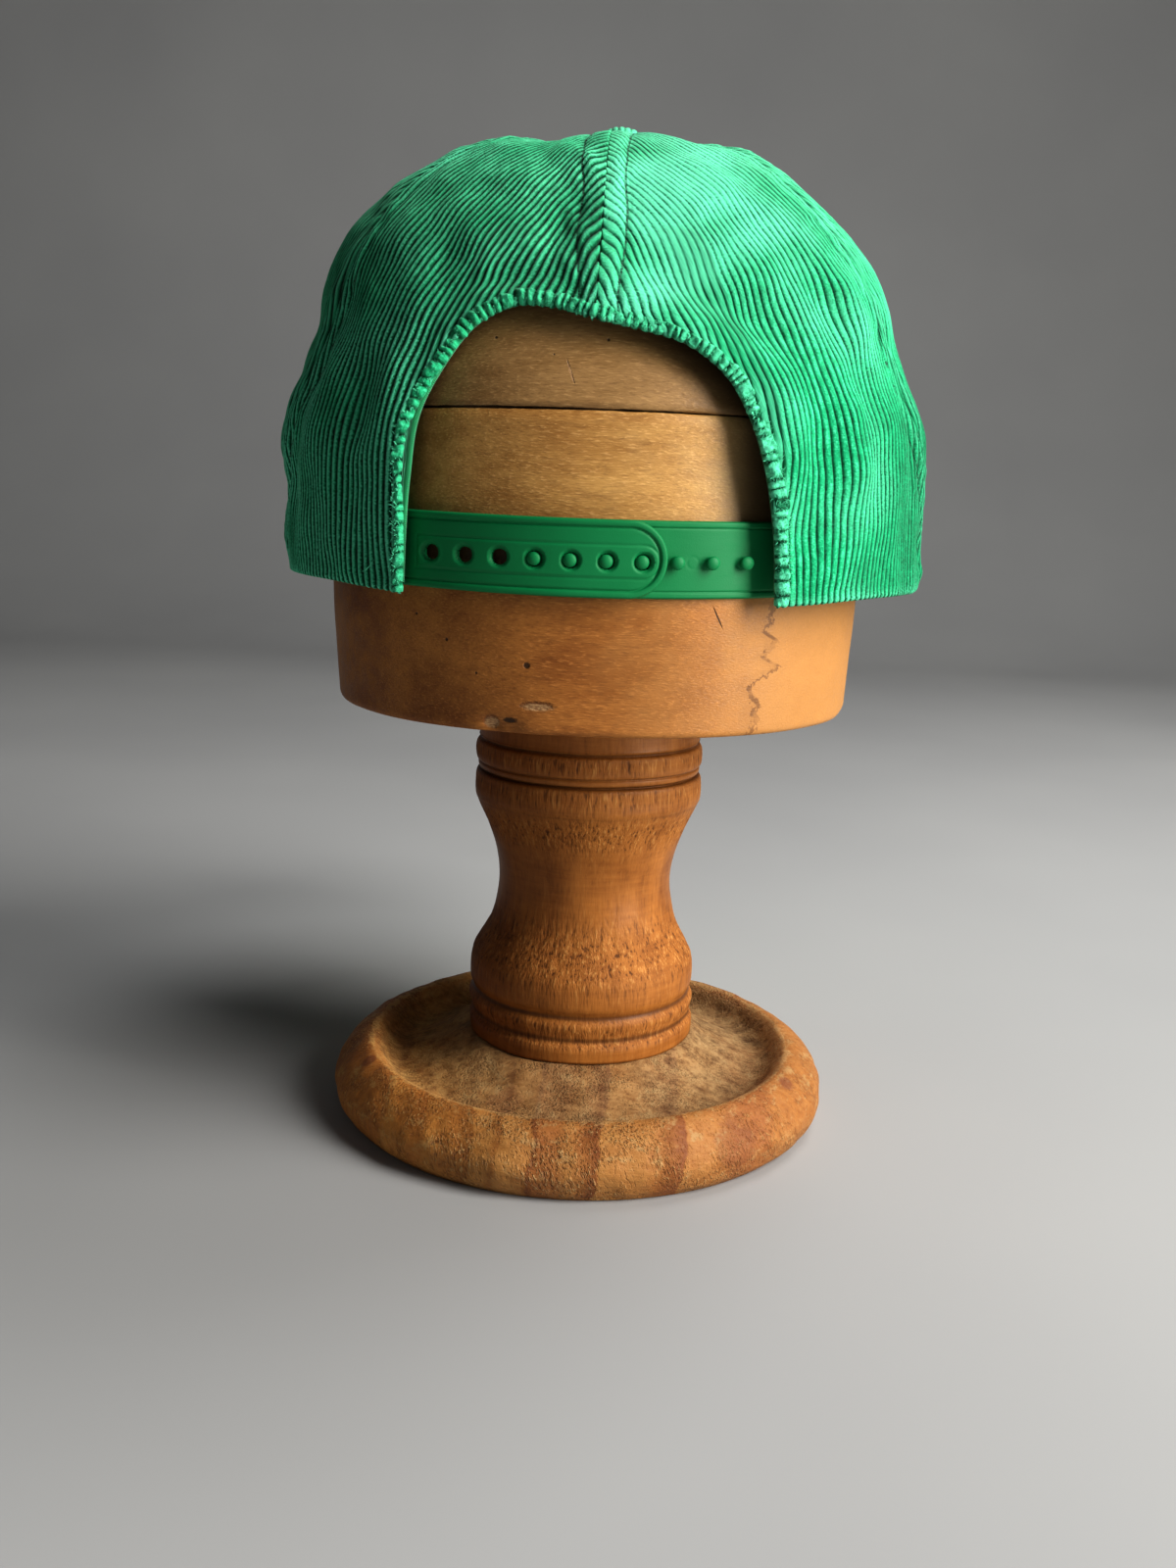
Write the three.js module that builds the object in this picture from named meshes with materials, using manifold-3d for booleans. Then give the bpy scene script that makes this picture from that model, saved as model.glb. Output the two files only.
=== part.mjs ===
// A corduroy trucker cap with a snap strap, on the plain wooden hat stand that holds it.
//
// Millimetres, +Z up. The origin is the centre of the stand's foot, on the table. The cap's
// peak points to -Y and its strap to +Y, so +X is the wearer's left. Azimuth is measured
// round the crown from the back centre, in degrees, positive towards -X. Rise runs up the
// crown from 0 at the rim to 1 at the top.

import * as THREE from "three";
import { mergeVertices } from "three/addons/utils/BufferGeometryUtils.js";
import Module from "manifold-3d";

const GAP = 0.3; // air between neighbouring pieces

// Crown: five panels of corduroy over an oval that closes to a dome.
const CLOTH = 1.6;
const OVAL_POWER = 2.15; // 2 is an ellipse, more is squarer
const RIM_HEIGHT = 171.5;
const CROWN_SECTIONS = [
  { height: RIM_HEIGHT, left: 92.0, right: 97.0, back: 96.0, front: 96.5 },
  { height: 183.0, left: 93.2, right: 96.8, back: 96.4, front: 97.2 },
  { height: 195.0, left: 93.8, right: 96.6, back: 96.0, front: 97.6 },
  { height: 206.0, left: 94.6, right: 96.6, back: 95.0, front: 97.4 },
  { height: 217.0, left: 92.4, right: 95.2, back: 93.0, front: 96.4 },
  { height: 228.0, left: 88.0, right: 90.2, back: 89.6, front: 94.4 },
  { height: 239.0, left: 84.2, right: 86.2, back: 85.2, front: 91.4 },
  { height: 250.0, left: 82.4, right: 83.6, back: 79.3, front: 86.8 },
  { height: 260.5, left: 79.2, right: 79.0, back: 72.3, front: 80.8 },
  { height: 271.0, left: 72.0, right: 70.4, back: 63.6, front: 72.4 },
  { height: 281.0, left: 61.4, right: 59.6, back: 53.0, front: 61.4 },
  { height: 289.0, left: 48.6, right: 48.8, back: 40.8, front: 48.2 },
  { height: 294.0, left: 34.9, right: 33.6, back: 28.0, front: 33.6 },
  { height: 296.6, left: 18.6, right: 16.6, back: 14.5, front: 17.2 },
  { height: 297.3, left: 0, right: 0, back: 0, front: 0 },
];
const APEX = { x: -3.2, from: 0.7 }; // the top sits a little to the right, from a share of the rise
const TOP_HOLE_RADIUS = 3.6; // where the panels stop under the button
const PANEL_ROWS = 16;

// Dents and ridges of the worn cloth: soft bumps on the crown, each centred at an azimuth
// and a height. Across and along are its half-sizes, lean turns its long way from upright
// towards the wearer's left, and depth is positive outwards.
const FOLDS = [
  { azimuth: -30, height: 295.3, across: 12.5, along: 16, lean: 0, depth: -5.2 },
  { azimuth: 46, height: 295, across: 10, along: 12, lean: 0, depth: -1.7 },
  { azimuth: 18, height: 246, across: 6.5, along: 22, lean: -61, depth: -3.0 },
  { azimuth: 22, height: 268, across: 15, along: 14, lean: 0, depth: 1.6 },
  { azimuth: 14, height: 236, across: 7, along: 18, lean: -60, depth: 2.2 },
  { azimuth: 29, height: 213, across: 6, along: 20, lean: -18, depth: 1.6 },
  { azimuth: 47, height: 250, across: 7, along: 26, lean: -15, depth: 2.0 },
  { azimuth: 42, height: 243, across: 5, along: 8, lean: -10, depth: -1.4 },
  { azimuth: 62, height: 209, across: 4, along: 20, lean: 0, depth: -1.6 },
  { azimuth: 34, height: 197, across: 6, along: 17, lean: 8, depth: -2.2 },
  { azimuth: 42, height: 205, across: 6, along: 26, lean: 0, depth: 1.8 },
  { azimuth: -10, height: 257, across: 4, along: 11, lean: 0, depth: -1.5 },
  { azimuth: -21, height: 257, across: 9, along: 12, lean: 0, depth: 1.8 },
  { azimuth: -18, height: 247, across: 3.5, along: 10, lean: 75, depth: -1.3 },
  { azimuth: -80, height: 257, across: 6, along: 14, lean: 0, depth: -2.0 },
  { azimuth: -58, height: 226, across: 6, along: 20, lean: 8, depth: -2.4 },
  { azimuth: -41, height: 212, across: 6, along: 16, lean: 6, depth: -2.0 },
  { azimuth: -63, height: 196, across: 6, along: 14, lean: 0, depth: -1.8 },
  { azimuth: -88, height: 197, across: 34, along: 10, lean: 0, depth: -2.4 },
  { azimuth: -34, height: 224, across: 6, along: 24, lean: 0, depth: 1.6 },
  { azimuth: 180, height: 262, across: 30, along: 20, lean: 0, depth: 1.5 },
  { azimuth: -140, height: 268, across: 14, along: 18, lean: 30, depth: -2.0 },
  { azimuth: 135, height: 262, across: 14, along: 20, lean: -25, depth: -1.8 },
];
const FOLD_REACH = 60; // how far through the crown a bump is felt
const DOME_CENTRE_HEIGHT = 215; // above it a bump pushes away from this point of the axis

// The rim hangs a little lower at the two corners of the arch.
const CORNER = { azimuth: 28, width: 14, drop: 1.8, fades: 0.16 };

// The opening at the back, along its edge from the left corner over the top.
const ARCH = [
  { azimuth: -30.9, height: RIM_HEIGHT },
  { azimuth: -30.5, height: 184.0 },
  { azimuth: -30.7, height: 198.0 },
  { azimuth: -29.8, height: 212.0 },
  { azimuth: -26.3, height: 225.0 },
  { azimuth: -21.6, height: 236.0 },
  { azimuth: -15.0, height: 241.2 },
  { azimuth: -8.0, height: 240.6 },
  { azimuth: -1.5, height: 237.8 },
  { azimuth: 6.0, height: 235.6 },
  { azimuth: 13.0, height: 232.3 },
  { azimuth: 19.4, height: 225.4 },
  { azimuth: 22.9, height: 215.5 },
  { azimuth: 25.4, height: 203.0 },
  { azimuth: 27.4, height: 187.0 },
  { azimuth: 28.2, height: RIM_HEIGHT },
];
const ARCH_TOP_ROW = 8; // the row at the foot of the centre seam, which climbs to azimuth 0

// Side seams: each swings back towards the strap as it climbs, up to a share of the rise.
const BACK_SEAM = { top: 56, swing: 24 };
const FRONT_SEAM = { top: 108, swing: 11 };
const SEAM_SWING = { upTo: 0.6, power: 1.4 };

// Inside the crown: a tape round the arch and the band against the brow.
const TAPE = { width: 7, thickness: 0.8, steps: 40 };
const SWEATBAND = { height: 31, thickness: 1.2, from: 37.5, steps: 48, lift: 0.6 };

// Peak: a stiff board in cloth, under the front panel's rim.
const PEAK = {
  halfAngle: 60, // of the rim that it is sewn to
  halfWidth: 89,
  reach: 124, // from its corners to its front edge
  cornerEase: 3, // how far the outline runs back at its corners
  thickness: 3.4,
  plumpness: 2.3, // power of the outline, 2 is an ellipse
  slope: 0.11, // drop for each millimetre forward
  curl: 16, // drop of its edges below its middle, at curlReach forward
  curlReach: 60,
  columns: 26,
  rows: 7,
};

// Button on the crown's top, a cloth-covered cap on a short rivet.
const BUTTON = { radius: 6.2, height: 3.6, rivet: 2.2, rivetLength: 5, turnIn: 0.8, lift: 0.4 };

// Snap strap of two moulded tongues, the holed one outside the pegged one.
const STRAP = {
  arcRadius: 80.0, // outer face of the holed tongue
  arcCentreY: 14.6,
  width: 19.2,
  height: 181.0, // of its middle line
  sag: 0.7, // drop of the middle between its ends
  halfSpan: 52, // from the centre to the ends inside the panels
  steps: 16,
};
const HOLED = { thickness: 1.6, tipX: -17.8, holes: 7, firstX: -11.7, holeRadius: 1.9, lip: 2.7 };
const PEGGED = { thickness: 1.4, tipX: 21.2, pegs: 7, firstX: -38.3, pegRadius: 1.75 };
const PEG_PITCH = 8.95;
const PEG_STAND = 2.4; // height of a peg above its tongue
const SNAP_HEIGHT = -0.6; // holes and pegs, from the strap's middle line

// Hat stand: an oval block in two boards, a turned post and a dished round base.
const BLOCK_SIDES = 36;
const BLOCK_JOINT = 216; // height of the glued joint between its two boards
const BLOCK_TOP = 289.9;
const BLOCK_SECTIONS = [
  { height: 135.0, halfWidth: 76.6, back: 88.1, front: 90.0 },
  { height: 136.8, halfWidth: 77.8, back: 89.2, front: 91.1 },
  { height: 150.0, halfWidth: 78.6, back: 89.7, front: 91.6 },
  { height: 170.0, halfWidth: 79.5, back: 90.0, front: 92.0 },
  { height: BLOCK_JOINT - GAP / 2, halfWidth: 79.5, back: 88.6, front: 91.2 },
  { height: BLOCK_JOINT + GAP / 2, halfWidth: 79.5, back: 88.5, front: 91.1 },
  { height: 226.0, halfWidth: 79.0, back: 85.5, front: 89.5 },
  { height: 236.0, halfWidth: 77.0, back: 80.6, front: 86.5 },
  { height: 247.0, halfWidth: 73.5, back: 74.2, front: 81.5 },
  { height: 258.0, halfWidth: 69.0, back: 66.5, front: 75.0 },
  { height: 268.0, halfWidth: 62.5, back: 58.0, front: 67.5 },
  { height: 277.0, halfWidth: 53.0, back: 48.5, front: 58.0 },
  { height: 284.0, halfWidth: 42.0, back: 37.5, front: 46.5 },
  { height: 288.0, halfWidth: 27.5, back: 24.5, front: 31.0 },
  { height: 289.5, halfWidth: 12.5, back: 11.5, front: 14.0 },
];
const POST_SIDES = 20;
const POST_PROFILE = [
  { height: 134.7, radius: 33.5 },
  { height: 119.0, radius: 33.5 },
  { height: 117.0, radius: 35.4 },
  { height: 114.6, radius: 35.7 },
  { height: 112.4, radius: 34.0 },
  { height: 109.8, radius: 35.7 },
  { height: 103.5, radius: 36.0 },
  { height: 100.4, radius: 35.0 },
  { height: 92.8, radius: 31.6 },
  { height: 84.0, radius: 28.8 },
  { height: 76.0, radius: 27.7 },
  { height: 68.4, radius: 28.3 },
  { height: 60.8, radius: 30.2 },
  { height: 54.0, radius: 33.8 },
  { height: 49.0, radius: 35.9 },
  { height: 42.0, radius: 36.1 },
  { height: 38.9, radius: 35.1 },
  { height: 36.0, radius: 36.4 },
  { height: 31.4, radius: 35.4 },
  { height: 29.0, radius: 36.4 },
  { height: 24.6, radius: 36.3 },
];
const BASE_SIDES = 32;
const BASE_PROFILE = [
  { height: 0.0, radius: 75.5 },
  { height: 3.5, radius: 78.6 },
  { height: 9.5, radius: 80.0 },
  { height: 15.5, radius: 77.0 },
  { height: 19.6, radius: 72.5 },
  { height: 20.8, radius: 68.6 },
  { height: 19.2, radius: 65.6 },
  { height: 15.2, radius: 62.0 },
  { height: 14.2, radius: 57.0 },
  { height: 18.6, radius: 46.0 },
  { height: 24.3, radius: 37.0 },
];

const GREEN_CORD = { color: 0x1fa565, roughness: 0.9, metalness: 0 };
const GREEN_TAPE = { color: 0x1d8a50, roughness: 0.85, metalness: 0 };
const GREEN_PLASTIC = { color: 0x14934f, roughness: 0.42, metalness: 0 };
const PALE_WOOD = { color: 0x9c7440, roughness: 0.6, metalness: 0 };
const BROWN_WOOD = { color: 0xa8662c, roughness: 0.62, metalness: 0 };

const wasm = await Module();
wasm.setup();

// Value of one column of a table at a place between its rows, on a smooth curve through
// them. Past each end the curve goes on as its neighbours point, or as before and after say.
function alongRows(rows, column, place, before, after) {
  const value = (i) => {
    if (i < 0) return before ?? 2 * rows[0][column] - rows[1][column];
    if (i < rows.length) return rows[i][column];
    return after ?? 2 * rows.at(-1)[column] - rows.at(-2)[column];
  };
  const k = Math.min(Math.max(Math.floor(place), 0), rows.length - 2);
  const f = place - k;
  const [p0, p1, p2, p3] = [k - 1, k, k + 1, k + 2].map(value);
  return (
    0.5 *
    (2 * p1 +
      (p2 - p0) * f +
      (2 * p0 - 5 * p1 + 4 * p2 - p3) * f * f +
      (3 * p1 - p0 - 3 * p2 + p3) * f ** 3)
  );
}

// The crown's oval at a rise. Past the top it comes down again on the other side, which
// makes the dome's crest level.
function crownSection(rise) {
  const last = CROWN_SECTIONS.at(-2);
  const at = (column, sign) =>
    alongRows(
      CROWN_SECTIONS,
      column,
      rise * (CROWN_SECTIONS.length - 1),
      undefined,
      sign * last[column],
    );
  return {
    height: at("height", 1),
    left: at("left", -1),
    right: at("right", -1),
    back: at("back", -1),
    front: at("front", -1),
  };
}

// Point of the crown before its folds: the superellipse of its section in one direction.
function smoothCrown(azimuth, rise) {
  const turn = THREE.MathUtils.degToRad(azimuth);
  const section = crownSection(rise);
  const across = Math.sin(turn);
  const ahead = Math.cos(turn);
  const halfX = Math.max(across > 0 ? section.right : section.left, 1e-6);
  const halfY = Math.max(ahead > 0 ? section.back : section.front, 1e-6);
  const shape = Math.abs(across / halfX) ** OVAL_POWER + Math.abs(ahead / halfY) ** OVAL_POWER;
  const radius = shape ** (-1 / OVAL_POWER);
  const aside = APEX.x * (Math.max(rise - APEX.from, 0) / (1 - APEX.from)) ** 2;
  return new THREE.Vector3(aside - radius * across, radius * ahead, section.height);
}

// Rise at which the crown reaches a height, by halving.
function riseAt(height) {
  let low = 0;
  let high = 1;
  for (let i = 0; i < 40; i++) {
    const middle = (low + high) / 2;
    if (crownSection(middle).height < height) low = middle;
    else high = middle;
  }
  return low;
}

// Direction that counts as outwards at a point: level below the dome, radial in it.
function outward(point) {
  const climb = Math.max(point.z - DOME_CENTRE_HEIGHT, 0);
  return new THREE.Vector3(point.x, point.y, climb).normalize();
}

// Each fold with its place and its own three directions.
const PLACED_FOLDS = FOLDS.map((fold) => {
  const turn = THREE.MathUtils.degToRad(fold.azimuth);
  const centre = smoothCrown(fold.azimuth, riseAt(fold.height));
  const out = outward(centre);
  const side = new THREE.Vector3(-Math.cos(turn), -Math.sin(turn), 0);
  const climb = new THREE.Vector3().crossVectors(side, out);
  if (climb.z < 0) climb.negate();
  const lean = THREE.MathUtils.degToRad(fold.lean);
  return { ...fold, centre, out, side, climb, cos: Math.cos(lean), sin: Math.sin(lean) };
});

// Height of all folds together at a point: a Gaussian hill or hollow for each.
function foldHeight(point) {
  return PLACED_FOLDS.reduce((sum, fold) => {
    const away = point.clone().sub(fold.centre);
    const level = away.dot(fold.side);
    const up = away.dot(fold.climb);
    const through = away.dot(fold.out) / FOLD_REACH;
    const across = (level * fold.cos - up * fold.sin) / fold.across;
    const along = (level * fold.sin + up * fold.cos) / fold.along;
    return sum + fold.depth * Math.exp(-(across ** 2) - along ** 2 - through ** 2);
  }, 0);
}

// Point of the crown, a depth inside its outer face.
function crownPoint(azimuth, rise, depth = 0) {
  const point = smoothCrown(azimuth, rise);
  const out = outward(point);
  point.addScaledVector(out, foldHeight(point) - depth);
  const fromCorner = (Math.abs(azimuth) - CORNER.azimuth) / CORNER.width;
  const nearRim = Math.max(1 - rise / CORNER.fades, 0);
  point.z -= CORNER.drop * Math.exp(-(fromCorner ** 2)) * nearRim;
  return point;
}

// Azimuth of a side seam at a rise, clear of the seam's middle by half the gap.
function seamAzimuth(seam, side, rise, clear) {
  const swing = Math.max(1 - rise / SEAM_SWING.upTo, 0) ** SEAM_SWING.power;
  const azimuth = side * (seam.top + seam.swing * swing);
  return azimuth + clearTurn(azimuth, rise, clear);
}

// Turn, in degrees, that moves a point of the crown sideways by a length.
function clearTurn(azimuth, rise, length) {
  const point = smoothCrown(azimuth, rise);
  const radius = Math.max(Math.hypot(point.x, point.y), 1);
  return THREE.MathUtils.radToDeg(length / radius);
}

// Rise at which the dome has narrowed to the hole under the button.
const TOP_RISE = (() => {
  let low = 0.9;
  let high = 1;
  for (let i = 0; i < 40; i++) {
    const middle = (low + high) / 2;
    if (crownSection(middle).left > TOP_HOLE_RADIUS) low = middle;
    else high = middle;
  }
  return low;
})();

// Place on the arch's edge, from its left corner at 0 to its right corner at 1.
function archEdge(share) {
  const place = share * (ARCH.length - 1);
  const height = alongRows(ARCH, "height", place);
  return {
    azimuth: alongRows(ARCH, "azimuth", place),
    rise: riseAt(Math.max(height, RIM_HEIGHT)),
  };
}

// Closed wall from a grid of outer points and the inner points behind them.
function wallGeometry(outer, inner) {
  const columns = outer.length;
  const rows = outer[0].length;
  const [lastColumn, lastRow] = [columns - 1, rows - 1];
  const positions = [outer, inner].flat(2).flatMap((point) => point.toArray());
  const at = (face, i, j) => face * columns * rows + i * rows + j;
  const triangles = [];
  const quad = (a, b, c, d) => triangles.push(a, b, c, a, c, d);
  for (let i = 0; i < lastColumn; i++) {
    for (let j = 0; j < lastRow; j++) {
      quad(at(0, i, j), at(0, i + 1, j), at(0, i + 1, j + 1), at(0, i, j + 1));
      quad(at(1, i, j), at(1, i, j + 1), at(1, i + 1, j + 1), at(1, i + 1, j));
    }
    quad(at(0, i, 0), at(1, i, 0), at(1, i + 1, 0), at(0, i + 1, 0));
    quad(at(0, i, lastRow), at(0, i + 1, lastRow), at(1, i + 1, lastRow), at(1, i, lastRow));
  }
  for (let j = 0; j < lastRow; j++) {
    quad(at(0, 0, j), at(0, 0, j + 1), at(1, 0, j + 1), at(1, 0, j));
    const end = lastColumn;
    quad(at(0, end, j), at(1, end, j), at(1, end, j + 1), at(0, end, j + 1));
  }
  const geometry = new THREE.BufferGeometry();
  geometry.setAttribute("position", new THREE.Float32BufferAttribute(positions, 3));
  geometry.setIndex(triangles);
  return geometry;
}

// Wall whose outer grid follows a function of two shares, each from 0 to 1.
function wallOver(place, columns, rows, thickness, depth = 0) {
  const grid = (inside) =>
    Array.from({ length: columns + 1 }, (_, i) =>
      Array.from({ length: rows + 1 }, (_, j) => {
        const { azimuth, rise } = place(i / columns, j / rows);
        return crownPoint(azimuth, rise, depth + inside);
      }),
    );
  return wallGeometry(grid(0), grid(thickness));
}

// Turns a wall's faces outwards when its grid ran the other way round.
function facingOut(geometry) {
  const index = geometry.index.array;
  const p = geometry.attributes.position;
  const [a, b, c] = [0, 1, 2].map(() => new THREE.Vector3());
  let volume = 0;
  for (let i = 0; i < index.length; i += 3) {
    a.fromBufferAttribute(p, index[i]);
    b.fromBufferAttribute(p, index[i + 1]);
    c.fromBufferAttribute(p, index[i + 2]);
    volume += a.dot(b.cross(c));
  }
  if (volume < 0) {
    for (let i = 0; i < index.length; i += 3) {
      [index[i + 1], index[i + 2]] = [index[i + 2], index[i + 1]];
    }
  }
  return geometry;
}

function named(name, geometry, finish) {
  const mesh = new THREE.Mesh(geometry, new THREE.MeshStandardMaterial(finish));
  mesh.name = name;
  return mesh;
}

// Panel between two seams, from the rim to the hole under the button.
function sidedPanel(firstSeam, lastSeam, columns) {
  return wallOver(
    (across, up) => {
      const rise = up * TOP_RISE;
      const first = firstSeam(rise);
      return { azimuth: first + (lastSeam(rise) - first) * across, rise };
    },
    columns,
    PANEL_ROWS,
    CLOTH,
  );
}

// Back panel on one side: -1 is the wearer's left. It lies between the rim, the side seam,
// the centre seam and the arch, blended between those four edges.
function backPanel(side) {
  const half = GAP / 2;
  const topShare = ARCH_TOP_ROW / (ARCH.length - 1);
  const cornerShare = side < 0 ? 0 : 1;
  const crest = archEdge(topShare);
  const corner = archEdge(cornerShare);
  const seam = (rise) => seamAzimuth(BACK_SEAM, side, rise, -side * half);
  const round = 0.9; // share of the top edge that lies on the centre seam
  const centreEdge = (share) => {
    const rise = crest.rise + (TOP_RISE - crest.rise) * Math.min(share / round, 1);
    const climbed = (rise - crest.rise) / (TOP_RISE - crest.rise);
    const start = crest.azimuth * (1 - climbed) + clearTurn(0, rise, side * half);
    const past = Math.max(share - round, 0) / (1 - round);
    return { azimuth: start + (seam(TOP_RISE) - start) * past, rise };
  };
  const arch = (share) => {
    const edge = archEdge(cornerShare + (topShare - cornerShare) * share);
    return { azimuth: edge.azimuth + clearTurn(0, edge.rise, side * half) * share, rise: edge.rise };
  };
  const seamEdge = (share) => ({ azimuth: seam(share * TOP_RISE), rise: share * TOP_RISE });
  const rim = (share) => ({
    azimuth: corner.azimuth + (seam(0) - corner.azimuth) * share,
    rise: 0,
  });
  const blend = (key, across, up) => {
    const sides = (1 - across) * arch(up)[key] + across * seamEdge(up)[key];
    const ends = (1 - up) * rim(across)[key] + up * centreEdge(across)[key];
    const low = (1 - across) * rim(0)[key] + across * rim(1)[key];
    const high = (1 - across) * centreEdge(0)[key] + across * centreEdge(1)[key];
    return sides + ends - ((1 - up) * low + up * high);
  };
  const columns = 20; // keeps the end of the centre seam on a grid line
  return wallOver(
    (across, up) => ({ azimuth: blend("azimuth", across, up), rise: blend("rise", across, up) }),
    columns,
    PANEL_ROWS,
    CLOTH,
  );
}

// Tape sewn inside the arch, from its edge outwards over the panels' inner face. Halfway up
// the left side it stands out past the edge and shows.
function archTape() {
  const nearEdge = 0.6;
  const showing = { height: 204, along: 15, by: 1.9 };
  const step = 1e-3;
  const place = (share, across) => {
    const inside = 0.012 + share * 0.976; // stops short of both corners of the rim
    const here = archEdge(inside);
    const before = archEdge(inside - step);
    const after = archEdge(inside + step);
    const run = crownPoint(after.azimuth, after.rise).sub(crownPoint(before.azimuth, before.rise));
    const out = outward(crownPoint(here.azimuth, here.rise));
    const off = new THREE.Vector3().crossVectors(out, run).normalize();
    const perRise = crownPoint(here.azimuth, here.rise + 0.01).sub(
      crownPoint(here.azimuth, here.rise),
    );
    const level = new THREE.Vector3().crossVectors(perRise.clone().normalize(), out);
    const up = (crownPoint(here.azimuth, here.rise).z - showing.height) / showing.along;
    const past = here.azimuth < 0 ? showing.by * Math.exp(-(up ** 2)) : 0;
    const reach = nearEdge - past + across * TAPE.width;
    const climb = (reach * off.dot(perRise.clone().normalize())) / (perRise.length() / 0.01);
    const sideways = reach * off.dot(level);
    return {
      azimuth: here.azimuth + clearTurn(here.azimuth, here.rise, sideways),
      rise: Math.max(here.rise + climb, 0.002),
    };
  };
  return wallOver(place, TAPE.steps, 1, TAPE.thickness, CLOTH + GAP);
}

// Band round the inside of the rim, open at the arch.
function sweatband() {
  const span = 360 - 2 * SWEATBAND.from;
  const lift = riseAt(RIM_HEIGHT + SWEATBAND.lift);
  const top = riseAt(RIM_HEIGHT + SWEATBAND.lift + SWEATBAND.height);
  const place = (round, up) => ({
    azimuth: -SWEATBAND.from - round * span,
    rise: lift + (top - lift) * up,
  });
  const depth = CLOTH + 3 * GAP; // the flat facets of both walls need the room
  return wallOver(place, SWEATBAND.steps, 3, SWEATBAND.thickness, depth);
}

// Peak: its back edge lies under the rim, its outline is a superellipse ahead of its two
// corners, and it drops forwards and curls down towards its edges.
function peak() {
  const corner = smoothCrown(180 - PEAK.halfAngle, 0);
  const bow = (x) => Math.sign(x) * Math.abs(x) ** (2 / PEAK.plumpness);
  const tipAt = (share, root) => {
    const sweep = (share * Math.PI) / 2;
    const halfWidth = Math.abs(share) === 1 ? Math.abs(root.x) : PEAK.halfWidth;
    const forward = PEAK.reach * bow(Math.max(Math.cos(sweep), 0));
    return new THREE.Vector3(
      -halfWidth * bow(Math.sin(sweep)),
      corner.y - forward - PEAK.cornerEase * Math.abs(share),
      0,
    );
  };
  const drop = (root, point) => {
    const forward = Math.max(root.y - point.y, 0);
    const aside = (point.x / PEAK.halfWidth) ** 2;
    return forward * PEAK.slope + (PEAK.curl * aside * forward) / PEAK.curlReach;
  };
  const grid = (down) =>
    Array.from({ length: PEAK.columns + 1 }, (_, i) => {
      const share = (2 * i) / PEAK.columns - 1;
      const root = smoothCrown(180 - PEAK.halfAngle * share, 0);
      root.addScaledVector(outward(root), -CLOTH);
      const tip = tipAt(share, root);
      return Array.from({ length: PEAK.rows + 1 }, (_, j) => {
        const point = root.clone().lerp(tip, j / PEAK.rows);
        point.z = RIM_HEIGHT - GAP - drop(root, point) - down;
        return point;
      });
    });
  return facingOut(wallGeometry(grid(0), grid(PEAK.thickness)));
}

// Button: a lathe of a low dome, its turned-in edge and the rivet through the crown.
function topButton() {
  const { radius, height, rivet, rivetLength, turnIn, lift } = BUTTON;
  const foot = CROWN_SECTIONS.at(-1).height + lift;
  const arcSteps = 6;
  const arc = Array.from({ length: arcSteps }, (_, i) => {
    const turn = (i / arcSteps) * (Math.PI / 2);
    return new THREE.Vector2(radius * Math.cos(turn), foot + height * Math.sin(turn));
  });
  const profile = [
    new THREE.Vector2(0, foot - rivetLength),
    new THREE.Vector2(rivet, foot - rivetLength),
    new THREE.Vector2(rivet, foot - lift / 2),
    new THREE.Vector2(radius - turnIn, foot - lift / 2),
    ...arc,
    new THREE.Vector2(0, foot + height),
  ];
  const geometry = new THREE.LatheGeometry(profile, 16);
  geometry.rotateX(Math.PI / 2);
  geometry.translate(APEX.x, 0, 0);
  return mergedCopy(geometry);
}

// Copy of a geometry with its shared vertices merged.
function mergedCopy(geometry) {
  const bare = geometry.clone();
  bare.deleteAttribute("normal");
  bare.deleteAttribute("uv");
  return mergeVertices(bare, 1e-4);
}

// Solid of a closed mesh.
function solidOf(geometry) {
  const merged = mergedCopy(geometry);
  return new wasm.Manifold(
    new wasm.Mesh({
      numProp: 3,
      vertProperties: new Float32Array(merged.attributes.position.array),
      triVerts: new Uint32Array(merged.index.array),
    }),
  );
}

// Geometry of a solid.
function geometryOf(solid) {
  const mesh = solid.getMesh();
  const geometry = new THREE.BufferGeometry();
  geometry.setAttribute("position", new THREE.BufferAttribute(mesh.vertProperties, 3));
  geometry.setIndex(new THREE.BufferAttribute(mesh.triVerts, 1));
  return geometry;
}

// Place on the strap's arc: x across the back, up from its middle line, and a depth inside
// the outer face of the holed tongue.
function strapPoint(x, up, depth) {
  const radius = STRAP.arcRadius;
  const turn = Math.asin(x / radius);
  const sag = STRAP.sag * (1 - (x / STRAP.halfSpan) ** 2);
  return new THREE.Vector3(
    (radius - depth) * Math.sin(turn),
    STRAP.arcCentreY + (radius - depth) * Math.cos(turn),
    STRAP.height - sag + up,
  );
}

// One tongue of the strap, bent round the arc from its end in the panel to its round tip.
function tongue(endX, tipX, depth, thickness) {
  const half = STRAP.width / 2;
  const heading = Math.sign(tipX - endX);
  const bendX = tipX - heading * half;
  const straight = Array.from({ length: STRAP.steps + 1 }, (_, i) => ({
    x: endX + ((bendX - endX) * i) / STRAP.steps,
    reach: half,
  }));
  const nose = [0.3, 0.55, 0.77, 0.93, 0.995].map((share) => ({
    x: bendX + heading * half * share,
    reach: half * Math.sqrt(1 - share ** 2),
  }));
  const grid = (inside) =>
    [...straight, ...nose].map(({ x, reach }) =>
      [-1, 0, 1].map((up) => strapPoint(x, up * reach, depth + inside)),
    );
  return facingOut(wallGeometry(grid(0), grid(thickness)));
}

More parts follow.
